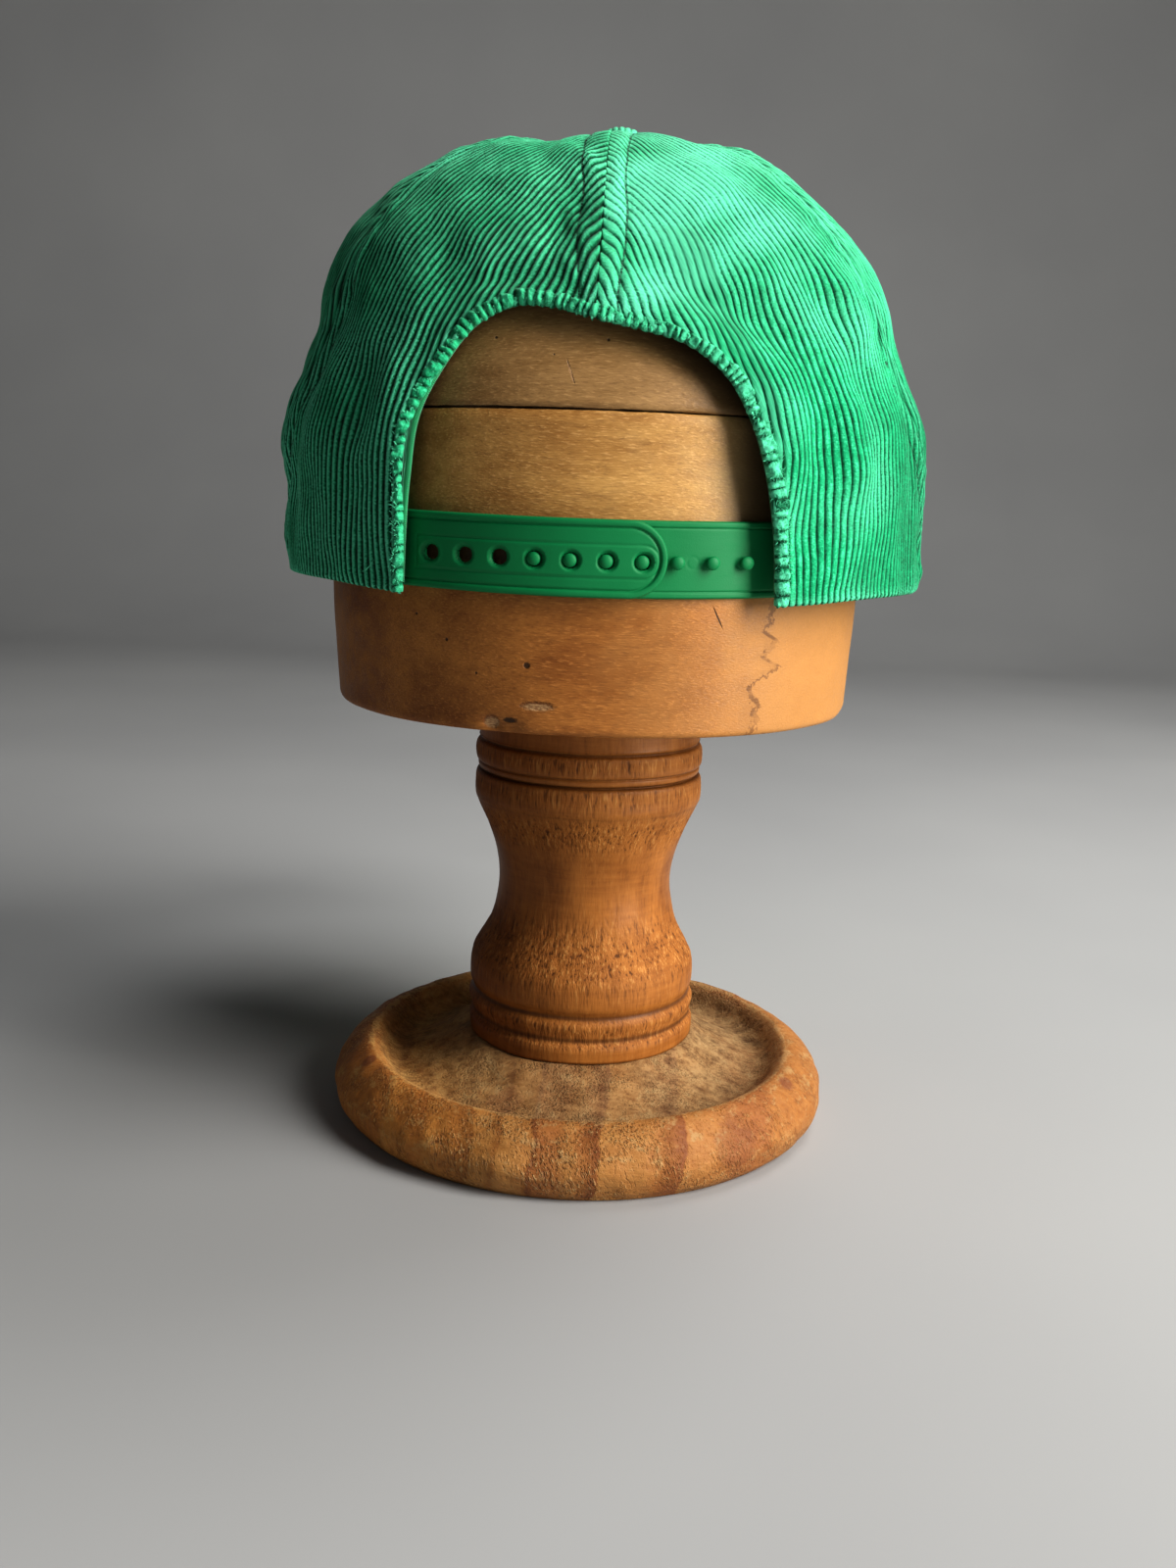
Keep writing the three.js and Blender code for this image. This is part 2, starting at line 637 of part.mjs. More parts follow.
// Short turned pin or cutter that points out of the strap at a place along it.
function strapPin(x, depth, profile, sides) {
  const points = profile.map(({ radius, out }) => new THREE.Vector2(radius, out));
  const geometry = new THREE.LatheGeometry(points, sides);
  const out = strapPoint(x, 0, 0).sub(strapPoint(x, 0, 1)).normalize();
  const turn = new THREE.Quaternion().setFromUnitVectors(new THREE.Vector3(0, 1, 0), out);
  geometry.applyQuaternion(turn);
  const place = strapPoint(x, SNAP_HEIGHT, depth);
  geometry.translate(place.x, place.y, place.z);
  return geometry;
}

function pitched(first, count) {
  return Array.from({ length: count }, (_, i) => first + i * PEG_PITCH);
}

// Holed tongue: a strip with countersunk holes cut through it.
function holedStrap() {
  const { thickness, tipX, holes, firstX, holeRadius, lip } = HOLED;
  const strip = solidOf(tongue(STRAP.halfSpan, tipX, 0, thickness));
  return geometryOf(
    pitched(firstX, holes).reduce((solid, x) => {
      const cutter = strapPin(
        x,
        0,
        [
          { radius: 0, out: -thickness - 1 },
          { radius: holeRadius, out: -thickness - 1 },
          { radius: holeRadius, out: -0.7 },
          { radius: lip, out: 0.1 },
          { radius: lip, out: 1 },
          { radius: 0, out: 1 },
        ],
        10,
      );
      return solid.subtract(solidOf(cutter));
    }, strip),
  );
}

// Pegged tongue: a strip behind the holed one, with round-headed pegs that stand in its holes.
function peggedStrap() {
  const { thickness, tipX, pegs, firstX, pegRadius } = PEGGED;
  const depth = HOLED.thickness + GAP;
  const strip = solidOf(tongue(-STRAP.halfSpan, tipX, depth, thickness));
  return geometryOf(
    pitched(firstX, pegs).reduce((solid, x) => {
      const peg = strapPin(
        x,
        depth,
        [
          { radius: 0, out: -thickness / 2 },
          { radius: pegRadius * 0.8, out: -thickness / 2 },
          { radius: pegRadius * 0.8, out: PEG_STAND * 0.45 },
          { radius: pegRadius, out: PEG_STAND * 0.62 },
          { radius: pegRadius * 0.7, out: PEG_STAND * 0.93 },
          { radius: 0, out: PEG_STAND },
        ],
        10,
      );
      return solid.add(solidOf(peg));
    }, strip),
  );
}

// Oval ring of the hat block through one of its sections.
function blockRing({ height, halfWidth, back, front }) {
  return Array.from({ length: BLOCK_SIDES }, (_, i) => {
    const turn = (i / BLOCK_SIDES) * 2 * Math.PI;
    const halfY = Math.cos(turn) > 0 ? back : front;
    const shape =
      Math.abs(Math.sin(turn) / halfWidth) ** OVAL_POWER +
      Math.abs(Math.cos(turn) / halfY) ** OVAL_POWER;
    const radius = shape ** (-1 / OVAL_POWER);
    return new THREE.Vector3(-radius * Math.sin(turn), radius * Math.cos(turn), height);
  });
}

// Solid through a stack of rings, with a flat fan at its foot and its head.
function stacked(rings, headHeight) {
  const sides = rings[0].length;
  const positions = rings.flat().flatMap((point) => point.toArray());
  positions.push(0, 0, rings[0][0].z, 0, 0, headHeight);
  const foot = rings.length * sides;
  const head = foot + 1;
  const top = (rings.length - 1) * sides;
  const triangles = [];
  for (let i = 0; i < sides; i++) {
    const next = (i + 1) % sides;
    for (let j = 0; j < rings.length - 1; j++) {
      const [a, b] = [j * sides + i, j * sides + next];
      triangles.push(a, b, b + sides, a, b + sides, a + sides);
    }
    triangles.push(foot, next, i, head, top + i, top + next);
  }
  const geometry = new THREE.BufferGeometry();
  geometry.setAttribute("position", new THREE.Float32BufferAttribute(positions, 3));
  geometry.setIndex(triangles);
  return facingOut(geometry);
}

// Lower board of the block, up to the joint.
function lowerBlock() {
  const rings = BLOCK_SECTIONS.filter(({ height }) => height < BLOCK_JOINT).map(blockRing);
  return stacked(rings, rings.at(-1)[0].z);
}

// Upper board of the block, a dome under the cloth.
function upperBlock() {
  const rings = BLOCK_SECTIONS.filter(({ height }) => height > BLOCK_JOINT).map(blockRing);
  return stacked(rings, BLOCK_TOP);
}

// Turned piece from a profile of its outside, closed to the axis at both ends.
function turned(profile, sides) {
  const points = [
    new THREE.Vector2(0, profile[0].height),
    ...profile.map(({ radius, height }) => new THREE.Vector2(radius, height)),
    new THREE.Vector2(0, profile.at(-1).height),
  ];
  const geometry = new THREE.LatheGeometry(points, sides);
  geometry.rotateX(Math.PI / 2);
  return facingOut(mergedCopy(geometry));
}

function crown() {
  const half = GAP / 2;
  const group = new THREE.Group();
  const seam = (which, side, clear) => (rise) => seamAzimuth(which, side, rise, clear);
  const frontFrom = seam(FRONT_SEAM, 1, half);
  const frontTo = (rise) => 360 + seamAzimuth(FRONT_SEAM, -1, rise, -half);
  group.add(
    named("crown_front", facingOut(sidedPanel(frontFrom, frontTo, 18)), GREEN_CORD),
    named("crown_back_left", facingOut(backPanel(-1)), GREEN_CORD),
    named("crown_back_right", facingOut(backPanel(1)), GREEN_CORD),
  );
  for (const [name, side] of [
    ["crown_side_left", -1],
    ["crown_side_right", 1],
  ]) {
    const from = seam(BACK_SEAM, side, side * half);
    const to = seam(FRONT_SEAM, side, -side * half);
    group.add(named(name, facingOut(sidedPanel(from, to, 8)), GREEN_CORD));
  }
  return group;
}

function cap() {
  const group = crown();
  group.add(
    named("top_button", facingOut(topButton()), GREEN_CORD),
    named("peak", peak(), GREEN_CORD),
    named("sweatband", facingOut(sweatband()), GREEN_TAPE),
    named("arch_binding", facingOut(archTape()), GREEN_TAPE),
    named("strap_holes", holedStrap(), GREEN_PLASTIC),
    named("strap_pegs", peggedStrap(), GREEN_PLASTIC),
  );
  return group;
}

function hatStand() {
  const group = new THREE.Group();
  group.add(
    named("block_upper", upperBlock(), PALE_WOOD),
    named("block_lower", lowerBlock(), BROWN_WOOD),
    named("post", turned(POST_PROFILE, POST_SIDES), BROWN_WOOD),
    named("base", turned(BASE_PROFILE, BASE_SIDES), BROWN_WOOD),
  );
  return group;
}

const hatOnStand = new THREE.Group();
hatOnStand.add(cap(), hatStand());

export default hatOnStand;
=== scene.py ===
"""Corduroy trucker cap on its wooden hat stand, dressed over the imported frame.

Sizes are millimetres until a mesh is made, then metres. +Z is up, the strap is at +Y and the
peak at -Y. The camera looks at the strap, so the picture's left is +X. Azimuth is measured
round the crown from the back centre, in degrees, positive towards -X. Rise runs up the crown
from 0 at the rim to 1 at the top. Tables that the solids also follow are repeated here.
"""

from __future__ import annotations

import logging
from collections.abc import Callable
from dataclasses import dataclass, field
from enum import Enum

import bmesh
import bpy
import numpy as np
from mathutils import Matrix, Vector

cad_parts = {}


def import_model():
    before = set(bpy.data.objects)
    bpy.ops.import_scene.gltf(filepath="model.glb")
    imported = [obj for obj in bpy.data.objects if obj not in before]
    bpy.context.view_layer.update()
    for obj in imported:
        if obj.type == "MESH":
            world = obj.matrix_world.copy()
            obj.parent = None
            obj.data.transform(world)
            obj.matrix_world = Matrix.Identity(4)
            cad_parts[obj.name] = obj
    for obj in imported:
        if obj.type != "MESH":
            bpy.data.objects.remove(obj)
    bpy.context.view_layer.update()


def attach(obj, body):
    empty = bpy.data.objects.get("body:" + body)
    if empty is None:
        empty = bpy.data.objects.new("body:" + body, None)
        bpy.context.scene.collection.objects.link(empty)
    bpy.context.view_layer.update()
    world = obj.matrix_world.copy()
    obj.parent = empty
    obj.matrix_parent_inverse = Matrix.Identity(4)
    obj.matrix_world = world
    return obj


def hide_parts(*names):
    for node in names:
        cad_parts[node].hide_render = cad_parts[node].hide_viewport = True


LOG = logging.getLogger("cap_on_stand")
PHOTO_SIZE = (1200, 1600)
MM = 0.001
GAP = 0.3
OVAL_POWER = 2.15
JOINT = 216.0  # height of the joint between the block's boards
ARCH_STEPS = 60  # fine steps in a row of the arch's table
MERGE = 2e-6  # metres within which points of one piece become one
COLUMN = np.array([0.0, 0.1, 0.27, 0.5, 0.73, 0.9])  # where the columns of points stand on a wale
LEVEL = np.array([1, 1, 0])
UPRIGHT = np.array([0, 0, 1])
HANG = np.array([0.0, 0.6, -0.8])  # the way the cut wales droop at the back seam
FAR = 99.0  # stands for a distance to an edge that a panel doesn't have

Array = np.ndarray
Material = bpy.types.Material
Piece = bpy.types.Object


# Numbers and surfaces


def table(*rows: tuple) -> Array:
    """Dataclass field that holds rows of numbers as an array."""
    return field(default_factory=lambda: np.array(rows, float))


def held(value: Array) -> Array:
    """Value held between 0 and 1."""
    return np.clip(value, 0, 1)


def turns(count: int) -> Array:
    """Directions evenly round a circle, in radians."""
    return np.linspace(0, 2 * np.pi, count + 1)[:-1]


def run_of(line: Array) -> Array:
    """Distance along a line of points at each of them."""
    return np.concatenate([[0], np.cumsum(np.linalg.norm(np.diff(line, axis=0), axis=1))])


def wale(place: Array, bow: float = 2.6, lift: float = 0.62) -> Array:
    """Round ridge over each whole step: (1 - |2 t - 1| to the bow) to the lift, t from 0 to 1."""
    return held(1 - np.abs(2 * np.mod(place, 1) - 1) ** bow) ** lift


def rounding(share: Array) -> Array:
    """Quarter circle from 0 to 1 over a share from 0 to 1."""
    return np.sqrt(held(1 - (1 - held(share)) ** 2))


def rolled_in(radius: float, gap: Array) -> Array:
    """How far a rolled edge of a radius has sunk at a gap from the edge: a quarter circle."""
    return radius - np.sqrt(np.clip(radius**2 - np.clip(radius - gap, 0, None) ** 2, 0, None))


def lathe(rows: Array, count: int) -> Array:
    """Points of a turned form from rows of height and radius, a column for each direction."""
    turn, (height, radius) = turns(count), rows.T
    level = np.broadcast_to(height, (count, len(height)))
    return np.stack([np.outer(np.sin(turn), radius), np.outer(np.cos(turn), radius), level], -1)


def capped(points: Array, rows: Array) -> Array:
    """Columns of a turned form with a point on its axis added at both ends."""
    ends = points[:, [0, -1]] * UPRIGHT
    ends[..., 2] = rows[[0, -1], 0]
    return np.concatenate([ends[:, :1], points, ends[:, 1:]], axis=1)


def catmull(rows: Array, place: Array, before: Array, after: Array) -> Array:
    """Rows of a table at places between them: the Catmull-Rom cubic through four neighbours.

    Args:
        rows: the table, one row for each whole place.
        place: where to read it, of any shape.
        before: the row that stands before the first.
        after: the row that stands after the last.

    Returns:
        The values, with the table's columns as the last axis.
    """
    longer = np.vstack([before, rows, after])
    first = np.clip(np.floor(place).astype(int), 0, len(rows) - 2)
    part = (place - first)[..., None]
    a, b, c, d = (longer[first + k] for k in range(4))
    cubic = 3 * b - a - 3 * c + d
    square = 2 * a - 5 * b + 4 * c - d
    return 0.5 * (2 * b + (c - a) * part + square * part**2 + cubic * part**3)


def smooth_rows(rows: Array, steps: int) -> Array:
    """Dense copy of a table's rows on the smooth curve through them, steps for each gap."""
    place = np.linspace(0, len(rows) - 1, steps * (len(rows) - 1) + 1)
    return catmull(rows, place, 2 * rows[0] - rows[1], 2 * rows[-1] - rows[-2])


def unit(vectors: Array) -> Array:
    """Vectors of length one, with zero left as zero."""
    length = np.linalg.norm(vectors, axis=-1, keepdims=True)
    return vectors / np.maximum(length, 1e-9)


def bump(distance: Array, width: float) -> Array:
    """Gaussian hill of height one: e to the minus (distance over width) squared."""
    return np.exp(-((distance / width) ** 2))


def ripple(points: Array, size: float, seed: int, waves: int = 16) -> Array:
    """Soft unevenness, mostly within -1 to 1: plane waves in seeded random directions.

    Args:
        points: places in millimetres.
        size: usual wavelength.
        seed: which unevenness.
        waves: how many waves are added.

    Returns:
        One value for each point.
    """
    rng = np.random.default_rng(seed)
    heading = unit(rng.normal(size=(waves, 3)))
    number = 2 * np.pi / (size * rng.uniform(0.7, 1.7, (waves, 1)))
    phase = rng.uniform(0, 2 * np.pi, waves)
    return np.sin(points @ (heading * number).T + phase).sum(-1) / np.sqrt(waves)


def nearest(points: Array, line: Array) -> tuple[Array, Array]:
    """Distance from points to a line of many short parts, and the place along it in millimetres.

    The nearest of the line's own points is found first, then the two parts that meet there.
    """
    flat = points.reshape(-1, 3)
    run = run_of(line)
    squares = (line**2).sum(1)[None] - 2 * flat @ line.T
    close = squares.argmin(1)
    best = np.full(len(flat), np.inf)
    along = np.zeros(len(flat))
    for shift in (-1, 0):
        start = np.clip(close + shift, 0, len(line) - 2)
        part = line[start + 1] - line[start]
        length = np.maximum((part**2).sum(1), 1e-12)
        share = held(((flat - line[start]) * part).sum(1) / length)
        gap = np.linalg.norm(flat - line[start] - share[:, None] * part, axis=1)
        better = gap < best
        best = np.where(better, gap, best)
        place = run[start] + share * (run[start + 1] - run[start])
        along = np.where(better, place, along)
    return best.reshape(points.shape[:-1]), along.reshape(points.shape[:-1])


def zipped(first: tuple[Array, Array], second: tuple[Array, Array]) -> Array:
    """Triangles that join two rows of points along one line, each given as numbers and places."""
    (a, place_a), (b, place_b) = first, second
    faces, i, j = [], 0, 0
    while i < len(a) - 1 or j < len(b) - 1:
        if j == len(b) - 1 or (i < len(a) - 1 and place_a[i + 1] <= place_b[j + 1]):
            faces.append((a[i + 1], a[i], b[j]))
            i += 1
        else:
            faces.append((b[j], b[j + 1], a[i]))
            j += 1
    return np.array(faces)


def grid_faces(columns: int, rows: int, first: int = 0, closed: bool = False) -> Array:
    """Four-cornered faces of a grid whose point (i, j) has number first + i * rows + j.

    Args:
        columns: how many columns of points.
        rows: how many points in a column.
        first: number of the first point.
        closed: whether the last column joins the first.

    Returns:
        One row of four point numbers for each face.
    """
    i, j = np.meshgrid(np.arange(columns - (not closed)), np.arange(rows - 1), indexing="ij")
    here = first + i * rows + j
    after = first + (i + 1) % columns * rows + j
    return np.stack([here, after, after + 1, here + 1], -1).reshape(-1, 4)


class Surface:
    """Points, faces and point values of one piece, gathered before its mesh is made."""

    def __init__(self) -> None:
        """Starts with nothing in it."""
        self.points: list[Array] = []
        self.faces: list[Array] = []
        self.uv: list[Array] = []
        self.values: dict[str, list[Array]] = {name: [] for name in ("pile", "wear", "line", "run")}
        self.count = 0

    def add(
        self, points: Array, faces: Array, uv: Array | None = None, pile: Array | float = 1.0,
        wear: Array | float = 0.0, line: Array | float = 9.0, run: Array | float = 0.0
    ) -> None:
        """Adds points and the faces among them.

        Args:
            points: places in millimetres, the last axis being x, y, z.
            faces: numbers within these points, three or four in a row.
            uv: cloth place of each point in millimetres.
            pile: height on the wale, 0 in a groove and 1 on its crest.
            wear: how worn the place is, from 0 to 1.
            line: distance across the nearest stitch line, in millimetres.
            run: distance along it.
        """
        flat = points.reshape(-1, 3)
        total = len(flat)
        self.points.append(flat)
        self.faces.append(faces + self.count)
        self.uv.append(np.zeros((total, 2)) if uv is None else uv.reshape(-1, 2))
        for name, value in (("pile", pile), ("wear", wear), ("line", line), ("run", run)):
            self.values[name].append(np.broadcast_to(value, points.shape[:-1]).reshape(-1))
        self.count += total

    def piece(self, name: str, material: Material, slot: str, node: str | None = None) -> Piece:
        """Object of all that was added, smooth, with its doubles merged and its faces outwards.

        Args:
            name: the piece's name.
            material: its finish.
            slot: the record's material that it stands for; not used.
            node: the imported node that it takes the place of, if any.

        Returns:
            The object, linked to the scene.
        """
        corners = np.concatenate([faces.reshape(-1) for faces in self.faces])
        sizes = np.concatenate([np.full(len(faces), faces.shape[1]) for faces in self.faces])
        starts = np.concatenate([[0], np.cumsum(sizes)[:-1]])
        mesh = bpy.data.meshes.new(name)
        mesh.vertices.add(self.count)
        mesh.vertices.foreach_set("co", (np.concatenate(self.points) * MM).reshape(-1))
        mesh.loops.add(len(corners))
        mesh.loops.foreach_set("vertex_index", corners.astype(np.int32))
        mesh.polygons.add(len(sizes))
        mesh.polygons.foreach_set("loop_start", starts.astype(np.int32))
        layer = mesh.uv_layers.new(name="cloth")
        layer.data.foreach_set("uv", (np.concatenate(self.uv)[corners] * 0.01).reshape(-1))
        for key, parts in self.values.items():
            attribute = mesh.attributes.new(key, "FLOAT", "POINT")
            attribute.data.foreach_set("value", np.concatenate(parts).astype(np.float32))
        mesh.update(calc_edges=True)
        welded = bmesh.new()
        welded.from_mesh(mesh)
        bmesh.ops.remove_doubles(welded, verts=welded.verts, dist=MERGE)
        if welded.calc_volume(signed=True) < 0:
            bmesh.ops.reverse_faces(welded, faces=welded.faces)
        welded.to_mesh(mesh)
        welded.free()
        mesh.polygons.foreach_set("use_smooth", np.ones(len(mesh.polygons), bool))
        mesh.materials.append(material)
        mesh.update()
        obj = bpy.data.objects.new(name, mesh)
        bpy.context.scene.collection.objects.link(obj)
        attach(obj, "root")
        if node is not None:
            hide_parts(node)
        LOG.info("%s has %d faces", name, len(mesh.polygons))
        return obj


# Finishes


def sign(operation: str, turned: bool = False) -> Callable[[Value, object], Value]:
    """Method that writes one operation between a shader value and another, turned round if asked."""

    def method(self: Value, other: object) -> Value:
        """Adds the node and gives its result."""
        first, second = (other, self) if turned else (self, other)
        return self.nodes.math(operation, first, second)

    return method


@dataclass(frozen=True)
class Value:
    """A shader value. A sign between it and a number or another value adds a Math node."""

    nodes: Nodes
    socket: bpy.types.NodeSocket

    __add__, __radd__ = sign("ADD"), sign("ADD", True)
    __sub__, __rsub__ = sign("SUBTRACT"), sign("SUBTRACT", True)
    __mul__, __truediv__, __pow__ = sign("MULTIPLY"), sign("DIVIDE"), sign("POWER")

    def __abs__(self) -> Value:
        """Size of the value without its sign."""
        return self.nodes.math("ABSOLUTE", self)


@dataclass(frozen=True)
class Outputs:
    """A node's outputs as values, by name or number."""

    nodes: Nodes
    node: bpy.types.Node

    def __getitem__(self, key: str | int) -> Value:
        """One output."""
        return Value(self.nodes, self.node.outputs[key])


class Nodes:
    """Writes shader nodes into a tree. An input is a Value or a plain number, colour or vector."""

    def __init__(self, tree: bpy.types.NodeTree) -> None:
        """Takes the tree that the nodes go into."""
        self.tree = tree

    def put(self, socket: bpy.types.NodeSocket, value: object) -> None:
        """Links or sets one input."""
        if isinstance(value, Value):
            self.tree.links.new(value.socket, socket)
        else:
            socket.default_value = value

    def add(self, kind: str, inputs: dict | None = None, **settings: object) -> Outputs:
        """New node with its settings and inputs."""
        node = self.tree.nodes.new("ShaderNode" + kind)
        for key, value in settings.items():
            setattr(node, key, value)
        for key, value in (inputs or {}).items():
            self.put(node.inputs[key], value)
        return Outputs(self, node)

    def effect(self, kind: Effect, vector: Value, **inputs: float) -> Outputs:
        """Places a shared effect."""
        return self.add("Group", {"Vector": vector} | inputs, node_tree=kind.group())

    def where(self) -> Value:
        """Object coordinates, in metres."""
        return self.add("TexCoord")["Object"]

    def cloth(self) -> Value:
        """Place on the cloth, in millimetres."""
        return self.scaled(self.add("UVMap", uv_map="cloth")["UV"], (100.0, 100.0, 0.0))

    def value(self, name: str) -> Value:
        """One of the piece's own point values."""
        return self.add("Attribute", attribute_name=name)["Fac"]

    def parts(self, vector: Value) -> Outputs:
        """A vector's x, y and z, by number."""
        return self.add("SeparateXYZ", {0: vector})

    def math(self, operation: str, a: object, b: object = 0.0, clamp: bool = False) -> Value:
        """One operation of two values, or of the first alone."""
        return self.add("Math", {0: a, 1: b}, operation=operation, use_clamp=clamp)[0]

    def scaled(self, vector: Value, scale: tuple[float, float, float]) -> Value:
        """Vector with each part times its own scale."""
        return self.add("VectorMath", {0: vector, 1: scale}, operation="MULTIPLY")[0]

    def noise(self, vector: Value, scale: object, detail: float = 3.0, rough: float = 0.55) -> Value:
        """Soft noise from 0 to 1."""
        inputs = {"Vector": vector, "Scale": scale, "Detail": detail, "Roughness": rough}
        return self.add("TexNoise", inputs)["Fac"]

    def span(
        self, value: Value, low: float, high: float, to: tuple = (0.0, 1.0), how: str = "SMOOTHSTEP"
    ) -> Value:
        """Value stretched so that low becomes the first of to and high the second, held past both."""
        inputs = {"Value": value, "From Min": low, "From Max": high, "To Min": to[0], "To Max": to[1]}
        return self.add("MapRange", inputs, interpolation_type=how)["Result"]

    def ramp(self, value: Value, stops: list[tuple[float, tuple]]) -> Value:
        """Colour along a row of stops."""
        made = self.add("ValToRGB", {"Fac": value})
        ramp = made.node.color_ramp
        while len(ramp.elements) < len(stops):
            ramp.elements.new(0.5)
        for element, (place, colour) in zip(ramp.elements, stops):
            element.position = place
            element.color = (*colour, 1.0)
        return made["Color"]

    def mix(self, share: object, a: object, b: object, blend: str = "MIX") -> Value:
        """Colour between two, or one laid on the other."""
        a, b = (colour if isinstance(colour, Value) else (*colour, 1.0) for colour in (a, b))
        return self.add("Mix", {0: share, 6: a, 7: b}, data_type="RGBA", blend_type=blend)[2]

    def tinted(self, share: object, colour: Value, tint: tuple) -> Value:
        """Colour with a share of a tint laid over it."""
        return self.mix(share, colour, self.mix(1.0, colour, tint, "MULTIPLY"))

    def bump(self, height: Value, strength: float, distance: float) -> Value:
        """Normal that a height gives, with distance in metres."""
        return self.add("Bump", {"Height": height, "Strength": strength, "Distance": distance})["Normal"]


class Effect(Enum):
    """Shader effects that several finishes share, each a node group with a Vector input."""

    WOOD_FLECK = "wood_fleck"
    SOILING = "soiling"
    WOVEN = "woven"

    def group(self) -> bpy.types.NodeTree:
        """The effect's node group, built the first time that it is asked for."""
        writers = {Effect.WOOD_FLECK: wood_fleck, Effect.SOILING: soiling, Effect.WOVEN: woven}
        return bpy.data.node_groups.get(self.value) or writers[self]()


def shader_group(kind: Effect, outputs: str, **inputs: float) -> tuple[Nodes, Outputs]:
    """New node group.

    Args:
        kind: the effect that it is for.
        outputs: names of its outputs, which are all numbers.
        inputs: each input's default, after the Vector.

    Returns:
        The group's writer and its inputs as values.
    """
    tree = bpy.data.node_groups.new(kind.value, "ShaderNodeTree")
    tree.interface.new_socket("Vector", in_out="INPUT", socket_type="NodeSocketVector")
    for key, value in inputs.items():
        socket = tree.interface.new_socket(key, in_out="INPUT", socket_type="NodeSocketFloat")
        socket.default_value = value
    for key in outputs.split():
        tree.interface.new_socket(key, in_out="OUTPUT", socket_type="NodeSocketFloat")
    nodes = Nodes(tree)
    return nodes, Outputs(nodes, tree.nodes.new("NodeGroupInput"))


def group_result(nodes: Nodes, **results: Value) -> bpy.types.NodeTree:
    """Links the group's results to its output."""
    end = nodes.tree.nodes.new("NodeGroupOutput")
    for key, value in results.items():
        nodes.put(end.inputs[key], value)
    return nodes.tree


def wood_fleck() -> bpy.types.NodeTree:
    """Short dark flecks and light dashes along the vector's X, over long soft streaks.

    The same stretched noise gives the flecks where it is high and the dashes where it is low.
    """
    nodes, given = shader_group(Effect.WOOD_FLECK, "Fleck Dash Streak Height", Stretch=6.0, Size=900.0)
    parts = nodes.parts(given["Vector"])
    near = nodes.add("CombineXYZ", {0: parts[0] / given["Stretch"], 1: parts[1], 2: parts[2]})[0]
    fine = nodes.noise(near, given["Size"], 2.0, 0.6)
    streak = nodes.noise(near, given["Size"] * 0.13, 5.0, 0.62)
    fleck, dash = nodes.span(fine, 0.54, 0.7), nodes.span(fine, 0.46, 0.3)
    return group_result(nodes, Fleck=fleck, Dash=dash, Streak=streak, Height=streak * 0.4 + fine * -1.0)


def soiling() -> bpy.types.NodeTree:
    """Blotches of old wax, hand dirt and dust at two sizes, from 0 to 1."""
    nodes, given = shader_group(Effect.SOILING, "Blotch Speck", Size=30.0, Edge=0.12)
    large = nodes.noise(given["Vector"], given["Size"], 5.0, 0.62)
    blotch = nodes.math("ADD", (large - 0.5) / given["Edge"], 0.5, clamp=True)
    small = nodes.noise(given["Vector"], given["Size"] * 14.0, 2.0, 0.5)
    return group_result(nodes, Blotch=blotch, Speck=nodes.span(small, 0.66, 0.74))


def woven() -> bpy.types.NodeTree:
    """Plain weave over a cloth place in millimetres: two crossed rows of rounded threads."""
    nodes, given = shader_group(Effect.WOVEN, "Height", Pitch=0.45)
    parts = nodes.parts(given["Vector"])
    waves = [nodes.math("SINE", parts[axis] / given["Pitch"] * (2 * np.pi)) for axis in (0, 1)]
    return group_result(nodes, Height=waves[0] * waves[1] * 0.5 + 0.5)


@dataclass(frozen=True)
class Finish:
    """A finish, which becomes a material of its name."""

    name: str

    def inputs(self, nodes: Nodes) -> dict[str, object]:
        """Inputs of the Principled shader by name, with the nodes behind them."""
        raise NotImplementedError

    def material(self) -> Material:
        """The finish as a material."""
        material = bpy.data.materials.new(self.name)
        material.use_nodes = True
        tree = material.node_tree
        tree.nodes.clear()
        shader = tree.nodes.new("ShaderNodeBsdfPrincipled")
        end = tree.nodes.new("ShaderNodeOutputMaterial")
        tree.links.new(shader.outputs["BSDF"], end.inputs["Surface"])
        nodes = Nodes(tree)
        for key, value in self.inputs(nodes).items():
            nodes.put(shader.inputs[key], value)
        return material


